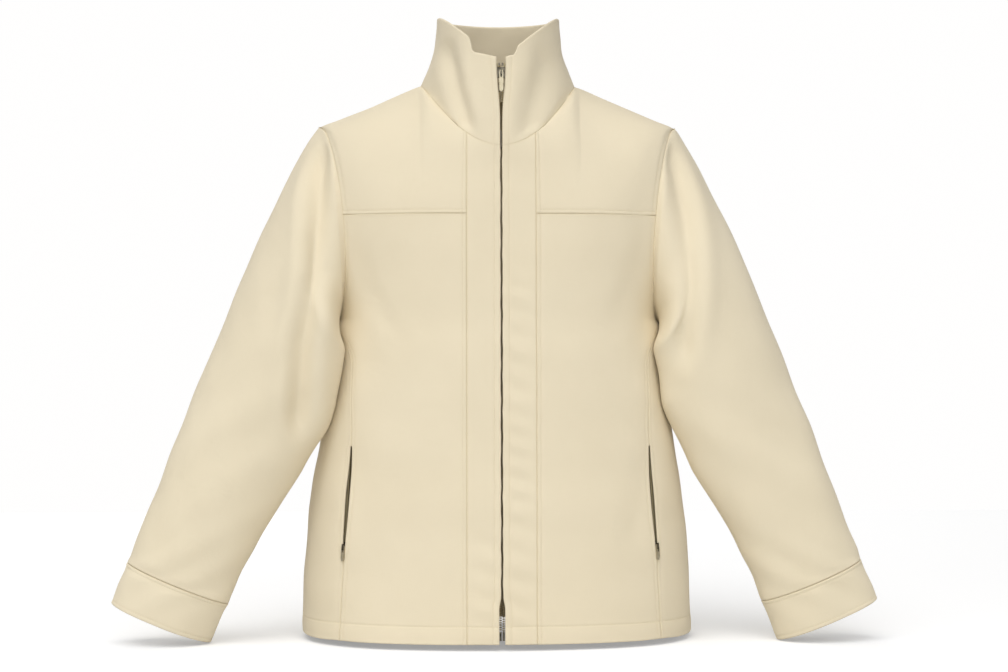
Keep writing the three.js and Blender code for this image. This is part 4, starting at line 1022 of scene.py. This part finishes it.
def front_facing():
    rows = ladder(560, 6, [(0, 3)])[:, None]
    columns = ladder(FACING_WIDTH, 3, [(0, 2), (32, FACING_WIDTH)])
    x = mix(FACING_FROM_ZIP, FACING_FROM_ZIP + FACING_WIDTH, columns)[None, :]
    top_y, top_z = line_top(FRONT, x)
    z = strip_heights(rows, 3.0, top_z - 6.0)
    return below(Cloth(rounded_point(FRONT, x, z, top_y, top_z)), DOUBLE_CLOTH + LAYER_GAP)


def back_neck_facing():
    angle = mix(math.pi / 3, -math.pi / 3, ladder(160, 4, [(0, 2), (158, 160)]))
    x = NECK_HALF_WIDTH * np.sin(angle)[None, :]
    top_y, top_z = line_top(BACK, np.abs(x))
    height = top_z - 3.0 - BACK_YOKE_Z
    low = np.arcsin((NECK_FACING_LOW - BACK_YOKE_Z) / height)
    rows = ladder(80, 3, [(0, 2), (78, 80)])[:, None]
    z = BACK_YOKE_Z + height * np.sin(mix(low, math.pi / 2, rows))
    return below(Cloth(rounded_point(BACK, x, z, top_y, top_z)), NECK_FACING_DEPTH)


def size_label():
    x = mix(LABEL_HALF_WIDTH, -LABEL_HALF_WIDTH, ladder(2 * LABEL_HALF_WIDTH, 1.5, []))[None, :]
    z = mix(LABEL_LOW, LABEL_HIGH, ladder(LABEL_HIGH - LABEL_LOW, 1.5, []))[:, None]
    top_y, top_z = line_top(BACK, np.abs(x))
    label = Cloth(rounded_point(BACK, x + 0 * z, z + 0 * x, top_y, top_z))
    return below(label, NECK_FACING_DEPTH + LINING + LAYER_GAP)


def hanging_loop():
    """Tape over an arch: straight feet, quarter rounds of 5 mm and a flat top, with its width along Y."""
    turn = np.linspace(0, math.pi / 2, 12)
    foot = np.linspace(-LOOP_LEG, LOOP_CURVE_LOW, 8)
    bend_x = LOOP_CURVE - LOOP_HALF_WIDTH - LOOP_CURVE * np.cos(turn)
    left_x = np.concatenate([-LOOP_HALF_WIDTH + 0 * foot, bend_x])
    left_z = np.concatenate([foot, LOOP_CURVE_LOW + LOOP_CURVE * np.sin(turn)])
    x = np.concatenate([left_x, -left_x[::-1]])
    z = np.concatenate([left_z, left_z[::-1]]) + LOOP_HEIGHT
    y = mix(62.0, 54.0, np.linspace(0, 1, 9))[None, :]
    grid = np.stack([x[:, None] + 0 * y, y + 0 * x[:, None], z[:, None] + 0 * y], axis=-1)
    return Cloth(grid)


BAG_LOW, BAG_HIGH, BAG_INNER_X, BAG_FROM_SEAM = 52.0, 238.0, 62.0, 18.0
BAG_HALF_DEPTH, BAG_LEAST_HALF_DEPTH, BAG_FRONT_DEPTH, BAG_ROUND = 9.9, 1.4, 3.5, 10.0


def pocket_bag(side):
    """Pouch behind the front panel: back layer, round inner end, front layer; closed above and below.

    Half of its depth is 10 mm times an oval profile in height, never less than its two layers need."""
    rows = ladder(186, 4, [(0, 4), (182, 186)])[:, None]
    z = mix(BAG_LOW, BAG_HIGH, rows)
    share = side_front_share(z)
    seam_x = section_point(FRONT, angle_of_share(share), z)[..., 0]
    turn = np.linspace(0, math.pi, 17)[1:-1]
    run = np.linspace(1, 0, 26)
    far = np.concatenate([run, 0 * turn, run[::-1]])[None, :]
    face = np.concatenate([1 + 0 * run, np.cos(turn), -1 + 0 * run])[None, :]
    tuck = np.concatenate([0 * run, np.sin(turn), 0 * run])[None, :]
    profile = np.sqrt(np.clip(1 - (2 * rows - 1) ** 8, 0, 1))
    half = np.maximum(BAG_HALF_DEPTH * profile, BAG_LEAST_HALF_DEPTH)
    x = mix(BAG_INNER_X + BAG_ROUND, seam_x - BAG_FROM_SEAM, far) - half * tuck
    base = Cloth(section_point(FRONT, angle_of_x(FRONT, x, z), z + 0 * x))
    steady = section_point(FRONT, angle_of_x(FRONT, x, z) + 0.001, z) - base.points
    outward = np.stack([steady[..., 1], -steady[..., 0], 0 * x], axis=-1)
    outward /= np.linalg.norm(outward, axis=-1, keepdims=True)
    depth = BAG_FRONT_DEPTH + BAG_ROUND + half * face
    pouch = Cloth(base.points - outward * depth[..., None])
    swell = waves(pouch.points * np.array([side, 1, 1]), 41, 50.0, 0.5)
    inside = smooth(pouch.distance["left"] / 10) * smooth(pouch.distance["right"] / 10)
    pouch.raise_by(-np.abs(swell) * inside)
    return pouch


# ---------------------------------------------------------------- zips

class ZipFrame:
    """Place of a zip: x across it, y into the jacket and z up along the teeth."""

    def __init__(self, origin, up, outward):
        self.origin = origin
        self.along = up / np.linalg.norm(up)
        inward = -outward - self.along * np.dot(-outward, self.along)
        self.inward = inward / np.linalg.norm(inward)
        self.across = np.cross(self.inward, self.along)

    def place(self, x, y, z):
        x, y, z = np.broadcast_arrays(x, y, z)
        return (self.origin + x[..., None] * self.across + y[..., None] * self.inward
                + z[..., None] * self.along)


def front_zip_frame():
    return ZipFrame(np.array([0.0, FRONT_HEM_Y, 0.0]), np.array([0.0, FRONT_LEAN, 1.0]),
                    np.array([0.0, -1.0, FRONT_LEAN]))


def pocket_seam(z):
    return section_point(FRONT, angle_of_share(side_front_share(z)), z)


def pocket_zip_frame(side):
    mirror = np.array([side, 1.0, 1.0])
    low, high = pocket_seam(np.array(POCKET_LOW)) * mirror, pocket_seam(np.array(POCKET_HIGH)) * mirror
    middle = np.array((POCKET_LOW + POCKET_HIGH) / 2)
    angle = angle_of_share(side_front_share(middle))
    step = section_point(FRONT, angle + 0.02, middle) - section_point(FRONT, angle - 0.02, middle)
    return ZipFrame(low, high - low, np.array([side * step[1], -step[0], 0.0]))


def tape_cloth(frame_, side, outer, width, depth, low, high):
    """Woven tape beside the teeth, its ribs a fine wave across, and a bead along the teeth's edge."""
    across = outer + ZIP_GAP + width * ladder(width, 1.0, [(0, 2)], 0.4)[None, :]
    across = across if side > 0 else -across[:, ::-1]
    along = mix(low, high, ladder(high - low, 3, []))[:, None]
    near = np.abs(across) - outer - ZIP_GAP
    ribs = 0.05 * np.sin(np.abs(across) * 2 * math.pi / 1.2)
    bead = 0.25 * bell(near - 0.9, 0.6)
    y = depth - 0.3 - ribs - bead
    return Cloth(frame_.place(across, y, along))


TOOTH_RINGS = np.array([[0.55, 0.35, 0.55], [0.9, 0.85, 0.9], [1.6, 0.95, 0.95], [2.0, 0.62, 0.95],
                        [2.9, 0.62, 1.0]])


def tooth_rows(frame_, side, outer, depth, low, high, pitch=2.6):
    """Teeth on one tape: eight-sided rings along x, each [x, half height, half thickness]."""
    start = low + pitch * (0.35 if side > 0 else 0.85)
    centre = np.arange(start, high - pitch * 0.3, pitch)
    rings = TOOTH_RINGS * np.array([outer / TEETH_OUTER, 1.0, 1.0])
    corner = np.linspace(0, 2 * math.pi, 8, endpoint=False) + math.pi / 8
    round_z = np.sign(np.cos(corner)) * np.abs(np.cos(corner)) ** 0.45
    round_y = np.sign(np.sin(corner)) * np.abs(np.sin(corner)) ** 0.45
    x = np.broadcast_to(rings[:, 0, None] * side, (len(rings), 8))
    z = rings[:, 1, None] * round_z
    y = rings[:, 2, None] * round_y * 0.98
    points = frame_.place(x[None], depth + y[None], centre[:, None, None] + z[None])
    return ring_stack(points, flip=side < 0)


def ring_stack(points, flip=False):
    """Vertices and quads of many small solids: points[piece, ring, corner], capped at both ends."""
    pieces, rings, corners = points.shape[:3]
    index = np.arange(rings * corners).reshape(rings, corners)
    turned = np.roll(index, -1, axis=1)
    sides = np.stack([index[:-1], turned[:-1], turned[1:], index[1:]], axis=-1).reshape(-1, 4)
    fan = np.array([[0, 2 * k + 1, 2 * k + 2, 2 * k + 3] for k in range((corners - 2) // 2)])
    low, high = index[0][fan][:, ::-1], index[-1][fan]
    template = np.concatenate([sides, low, high])
    if flip:
        template = template[:, ::-1]
    faces = (template[None] + (np.arange(pieces) * rings * corners)[:, None, None]).reshape(-1, 4)
    return points.reshape(-1, 3), faces


def to_frame(points):
    return points * MM + FRAME_ORIGIN


# ---------------------------------------------------------------- topstitching

def stitch_rows(lines, pitch=3.1, radius=0.26):
    """Thread stitches along lines of cloth points: six-sided capsules that dip into the cloth at both ends."""
    all_points, all_faces, start = [], [], 0
    for points, normal in lines:
        run = np.concatenate([[0], np.cumsum(np.linalg.norm(np.diff(points, axis=0), axis=-1))])
        begin = np.arange(pitch * 0.5, run[-1] - pitch, pitch)
        if len(begin) == 0:
            continue
        share = np.array([0.0, 0.16, 0.5, 0.84, 1.0])
        lift = np.array([-0.45, 0.1, 0.2, 0.1, -0.45]) * radius * 2
        at = begin[:, None] + share[None, :] * pitch * 0.8
        centre = np.stack([np.interp(at, run, points[:, axis]) for axis in range(3)], axis=-1)
        up = np.stack([np.interp(at, run, normal[:, axis]) for axis in range(3)], axis=-1)
        up /= np.linalg.norm(up, axis=-1, keepdims=True)
        tangent = np.gradient(centre, axis=1)
        tangent /= np.maximum(np.linalg.norm(tangent, axis=-1, keepdims=True), 1e-9)
        beside = np.cross(tangent, up)
        centre = centre + up * lift[None, :, None]
        corner = np.linspace(0, 2 * math.pi, 6, endpoint=False)
        size = radius * np.array([0.55, 0.95, 1.05, 0.95, 0.55])[None, :, None, None]
        ring = (up[:, :, None, :] * np.cos(corner)[None, None, :, None]
                + beside[:, :, None, :] * np.sin(corner)[None, None, :, None]) * size
        vertices, faces = ring_stack(centre[:, :, None, :] + ring, flip=True)
        all_points.append(vertices)
        all_faces.append(faces + start)
        start += len(vertices)
    return np.concatenate(all_points), np.concatenate(all_faces)


def part_of_line(line, low, high):
    """The stretch of a line between two heights."""
    points, normal = line
    inside = (points[:, 2] >= low) & (points[:, 2] <= high)
    return points[inside], normal[inside]


def mirrored_line(line, side):
    flip = np.array([side, 1.0, 1.0])
    return line[0] * flip, line[1] * flip


# ---------------------------------------------------------------- assembly

# distance of each topstitched line from its edge
ZIP_STITCH, BAND_STITCH, YOKE_STITCH, ARM_STITCH, POCKET_STITCH = 7.5, 4.8, 4.5, 6.0, 5.0
CUFF_SEAM_STITCH, CUFF_EDGE_STITCH = 4.0, 5.0
HEM_GROOVE = {"depth": 0.5, "width": 0.9, "puff": 0.5}
POCKET_GROOVE = {"depth": 0.3, "width": 0.8, "puff": 0.12}
EVERY_EDGE = ("low", "left", "right", "high")


def add_torso():
    """Sewn panels of the body, with topstitching along their seams; returns every stitched line."""
    stitched = []
    for word, side in SIDES.items():
        band, panel, flank, yoke = front_band(side), front_panel(side), side_panel(side), front_yoke(side)
        band.sew("left", ZIP_STITCH)
        panel.sew("left", BAND_STITCH)
        panel.sew("right", POCKET_STITCH, **POCKET_GROOVE)
        flank.sew("left", POCKET_STITCH, **POCKET_GROOVE)
        yoke.sew("left", BAND_STITCH)
        yoke.sew("low", YOKE_STITCH)
        yoke.sew("right", ARM_STITCH)
        lines = []
        for piece in (band, panel, flank):
            piece.sew("low", HEM_TURN, **HEM_GROOVE)
            lines.append(piece.line("low", HEM_TURN))
        lines += [band.line("left", ZIP_STITCH), panel.line("left", BAND_STITCH),
                  part_of_line(panel.line("right", POCKET_STITCH), 0, 480),
                  part_of_line(flank.line("left", POCKET_STITCH), POCKET_LOW - 8, POCKET_HIGH + 8),
                  yoke.line("left", BAND_STITCH), yoke.line("low", YOKE_STITCH),
                  yoke.line("right", ARM_STITCH)]
        stitched += [mirrored_line(line, side) for line in lines]
        cloth_piece(f"front_band_cloth_{word}", band, COTTON, [f"front_band_{word}"], DOUBLE_CLOTH,
                    free=("low", "left"), sewn=("right", "high"), side=side)
        cloth_piece(f"front_panel_cloth_{word}", panel, COTTON, [f"front_panel_{word}"], CLOTH,
                    free=("low",), sewn=("left", "right", "high"), side=side)
        cloth_piece(f"side_panel_cloth_{word}", flank, COTTON, [f"side_panel_{word}"], CLOTH,
                    free=("low",), sewn=("left", "right", "high"), side=side)
        cloth_piece(f"front_yoke_cloth_{word}", yoke, COTTON, [f"front_yoke_{word}"], CLOTH,
                    sewn=EVERY_EDGE, side=side)
        cloth_piece(f"front_facing_cloth_{word}", front_facing(), COTTON_INSIDE, [f"front_facing_{word}"],
                    LINING, free=EVERY_EDGE, side=side)
        bag = pocket_bag(side)
        cloth_piece(f"pocket_bag_cloth_{word}", bag, COTTON_INSIDE, [f"pocket_bag_{word}"], LINING,
                    free=("left", "right"), sewn=("low", "high"), side=side)
    back, yoke = back_panel(), back_yoke()
    yoke.sew("low", YOKE_STITCH)
    back.sew("low", HEM_TURN, **HEM_GROOVE)
    for edge in ("left", "right"):
        back.sew(edge, ARM_STITCH)
        yoke.sew(edge, ARM_STITCH)
        stitched.append(part_of_line(back.line(edge, ARM_STITCH), UNDERARM_Z + 4, TIP_Z))
        stitched.append(yoke.line(edge, ARM_STITCH))
    stitched += [back.line("low", HEM_TURN), yoke.line("low", YOKE_STITCH)]
    cloth_piece("back_panel_cloth", back, COTTON, ["back_panel"], CLOTH, free=("low",),
                sewn=("left", "right", "high"))
    cloth_piece("back_yoke_cloth", yoke, COTTON, ["back_yoke"], CLOTH, sewn=EVERY_EDGE)
    return stitched


def add_collar():
    """The collar in one double cloth, with what is sewn inside the neck; returns its stitched lines."""
    cloth = collar()
    for edge in ("left", "right"):
        cloth.sew(edge, ZIP_STITCH)
    lines = [cloth.line(edge, ZIP_STITCH) for edge in ("left", "right")]
    cloth_piece("collar_cloth", cloth, COTTON, ["collar_outer", "collar_facing"], CLOTH + LAYER_GAP + LINING,
                free=("high", "left", "right"), sewn=("low",))
    cloth_piece("back_neck_facing_cloth", back_neck_facing(), COTTON_INSIDE, ["back_neck_facing"], LINING,
                free=EVERY_EDGE)
    cloth_piece("size_label_cloth", size_label(), LABEL, ["size_label"], LABEL_CLOTH, free=EVERY_EDGE)
    cloth_piece("hanging_loop_tape", hanging_loop(), COTTON_INSIDE, ["hanging_loop"], CLOTH,
                free=("left", "right"), sewn=("low", "high"))
    return lines


def add_threads(name, lines, body):
    vertices, faces = stitch_rows(lines)
    return new_object(name, to_frame(vertices), faces, body, THREAD)


def add_sleeves():
    for word, side in SIDES.items():
        tube, rows = sleeve(side)
        piece = cloth_piece(f"sleeve_cloth_{word}", tube, COTTON,
                            [f"upper_sleeve_{word}", f"front_sleeve_{word}", f"back_sleeve_{word}"],
                            CLOTH, sewn=("low", "high"), side=side, body=None)
        bend_with_arm(piece)
        band = cuff(side)
        stitches = (("low", CUFF_SEAM_STITCH), ("high", CUFF_EDGE_STITCH))
        for edge, at in stitches:
            band.sew(edge, at)
        cloth_piece(f"cuff_cloth_{word}", band, COTTON, [f"cuff_{word}"], DOUBLE_CLOTH, free=("high",),
                    sewn=("low",), side=side, body=f"sleeve_{word}")
        lines = [mirrored_line(band.line(edge, at), side) for edge, at in stitches]
        add_threads(f"cuff_topstitching_{word}", lines, f"sleeve_{word}")


def add_teeth(name, node, place, side, outer, depth, low, high):
    vertices, faces = tooth_rows(place, side, outer, depth, low, high)
    piece = new_object(name, to_frame(vertices), faces, "torso", TEETH, smooth_shade=False)
    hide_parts(node)


ZIP_LOW, TEETH_LOW, ZIP_BELOW_COLLAR, TOP_STOP_LENGTH, TAPE_OVERHANG = 4.0, 14.4, 5.0, 3.4, 6.0


def add_zips():
    """Teeth and tapes of the front zip, and of each pocket's zip on both edges of its slot."""
    place, stretch = front_zip_frame(), math.hypot(1, FRONT_LEAN)
    top = (COLLAR_FRONT_Z - ZIP_BELOW_COLLAR) * stretch
    for word, side in SIDES.items():
        add_teeth(f"front_teeth_{word}", f"front_zip_teeth_{word}", place, side, TEETH_OUTER, ZIP_DEPTH,
                  TEETH_LOW, top - TOP_STOP_LENGTH)
        tape = tape_cloth(place, side, TEETH_OUTER, TAPE_WIDTH, ZIP_DEPTH, ZIP_LOW, top)
        cloth_piece(f"front_tape_{word}", tape, TAPE, [f"front_zip_tape_{word}"], TAPE_CLOTH,
                    free=EVERY_EDGE)
        near = pocket_zip_frame(side)
        length = np.linalg.norm(pocket_seam(np.array(POCKET_HIGH)) - pocket_seam(np.array(POCKET_LOW)))
        for edge, part in ((side, "back"), (-side, "front")):
            add_teeth(f"pocket_{part}_row_{word}", f"pocket_{part}_teeth_{word}", near, edge,
                      POCKET_TEETH_OUTER, POCKET_ZIP_DEPTH, 0.0, length)
            strip = tape_cloth(near, edge, POCKET_TEETH_OUTER, POCKET_TAPE_WIDTH, POCKET_ZIP_DEPTH,
                               -TAPE_OVERHANG, length + TAPE_OVERHANG)
            cloth_piece(f"pocket_{part}_strip_{word}", strip, TAPE, [f"pocket_{part}_tape_{word}"], TAPE_CLOTH,
                        free=EVERY_EDGE)


EASED_EDGE = 0.0002


def finish_metal():
    """The zip's solid metal parts keep their shape, with eased edges and a plated finish."""
    names = ["front_zip_retainer_box", "front_zip_insertion_pin", "front_zip_slider", "front_zip_pull"]
    for word in SIDES:
        names += [f"front_zip_top_stop_{word}", f"pocket_slider_{word}", f"pocket_pull_{word}"]
    for name in names:
        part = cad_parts[name]
        part.data.materials.clear()
        part.data.materials.append(PULL_METAL if "pull" in name else GUNMETAL)
        edges = part.modifiers.new("eased edges", "BEVEL")
        edges.width, edges.segments, edges.limit_method = EASED_EDGE, 2, "ANGLE"


# ---------------------------------------------------------------- studio

# each soft light: its place above the floor, its breadth in metres and its watts
LIGHTS = {
    "window": ((-2.4, -2.2, 1.9), 1.4, 9.0),
    "front": ((0.3, -2.4, 1.2), 2.0, 20.5),
    "back": ((-0.9, 2.6, 1.5), 2.0, 16.0),
}
LIT_HEIGHT = 0.36
SKY_WAY, SKY_STRENGTH, SKY_SPREAD = (-0.25, -0.5, 1.3), 1.5, 46.0
WORLD_LIGHT, WORLD_SEEN, WORLD_COLOUR = 0.34, 1.0, (1.0, 0.995, 0.99, 1.0)
FLOOR_HALF_SIZE, FLOOR_GREY, FLOOR_GLOW = 1.7, 0.74, 0.31


def add_area_light(name, place, target, size, power):
    data = bpy.data.lights.new(name, "AREA")
    data.shape, data.size, data.energy = "DISK", size, power
    lamp = bpy.data.objects.new(name, data)
    bpy.context.collection.objects.link(lamp)
    lamp.location = place
    lamp.rotation_euler = (Vector(target) - Vector(place)).to_track_quat("-Z", "Y").to_euler()


def add_sun(direction, strength, spread):
    data = bpy.data.lights.new("skylight", "SUN")
    data.energy, data.angle = strength, math.radians(spread)
    lamp = bpy.data.objects.new("skylight", data)
    bpy.context.collection.objects.link(lamp)
    lamp.rotation_euler = Vector(direction).to_track_quat("Z", "Y").to_euler()


def set_world():
    """Pale room: white where it is seen, and dimmer as a light."""
    world = bpy.data.worlds.new("studio")
    bpy.context.scene.world = world
    world.use_nodes = True
    nodes, links = world.node_tree.nodes, world.node_tree.links
    background = nodes["Background"]
    seen = nodes.new("ShaderNodeLightPath")
    level = nodes.new("ShaderNodeMapRange")
    level.inputs["To Min"].default_value, level.inputs["To Max"].default_value = WORLD_LIGHT, WORLD_SEEN
    links.new(seen.outputs["Is Camera Ray"], level.inputs["Value"])
    links.new(level.outputs["Result"], background.inputs["Strength"])
    background.inputs["Color"].default_value = WORLD_COLOUR


def set_floor(low):
    """White paper under the hem and cuffs, which glows a little where it is seen."""
    floor = bpy.data.meshes.new("floor")
    far = FLOOR_HALF_SIZE
    corners = [(-far, -far, low), (far, -far, low), (far, far, low), (-far, far, low)]
    floor.from_pydata(corners, [], [(0, 1, 2, 3)])
    ground = bpy.data.objects.new("floor", floor)
    bpy.context.collection.objects.link(ground)
    paper = Finish("white_paper", Roughness=0.9, Specular_IOR_Level=0.1)
    seen = paper.tree.nodes.new("ShaderNodeLightPath").outputs["Is Camera Ray"]
    paper.put(paper.scaled(seen, FLOOR_GLOW), paper.shader.inputs["Emission Strength"])
    paper.shader.inputs["Base Color"].default_value = (FLOOR_GREY, FLOOR_GREY, FLOOR_GREY, 1.0)
    paper.shader.inputs["Emission Color"].default_value = (1.0, 1.0, 1.0, 1.0)
    floor.materials.append(paper.material)


def set_studio():
    bpy.context.scene.view_settings.view_transform = "Standard"
    set_world()
    low = cad_low[2]
    for name, (place, breadth, watts) in LIGHTS.items():
        lamp_place = (place[0], place[1], low + place[2])
        add_area_light(name, lamp_place, (0.0, 0.0, low + LIT_HEIGHT), breadth, watts)
    add_sun(SKY_WAY, SKY_STRENGTH, SKY_SPREAD)
    set_floor(low)


set_camera()
set_studio()
add_threads("torso_topstitching", add_torso() + add_collar(), "torso")
add_sleeves()
add_zips()
finish_metal()
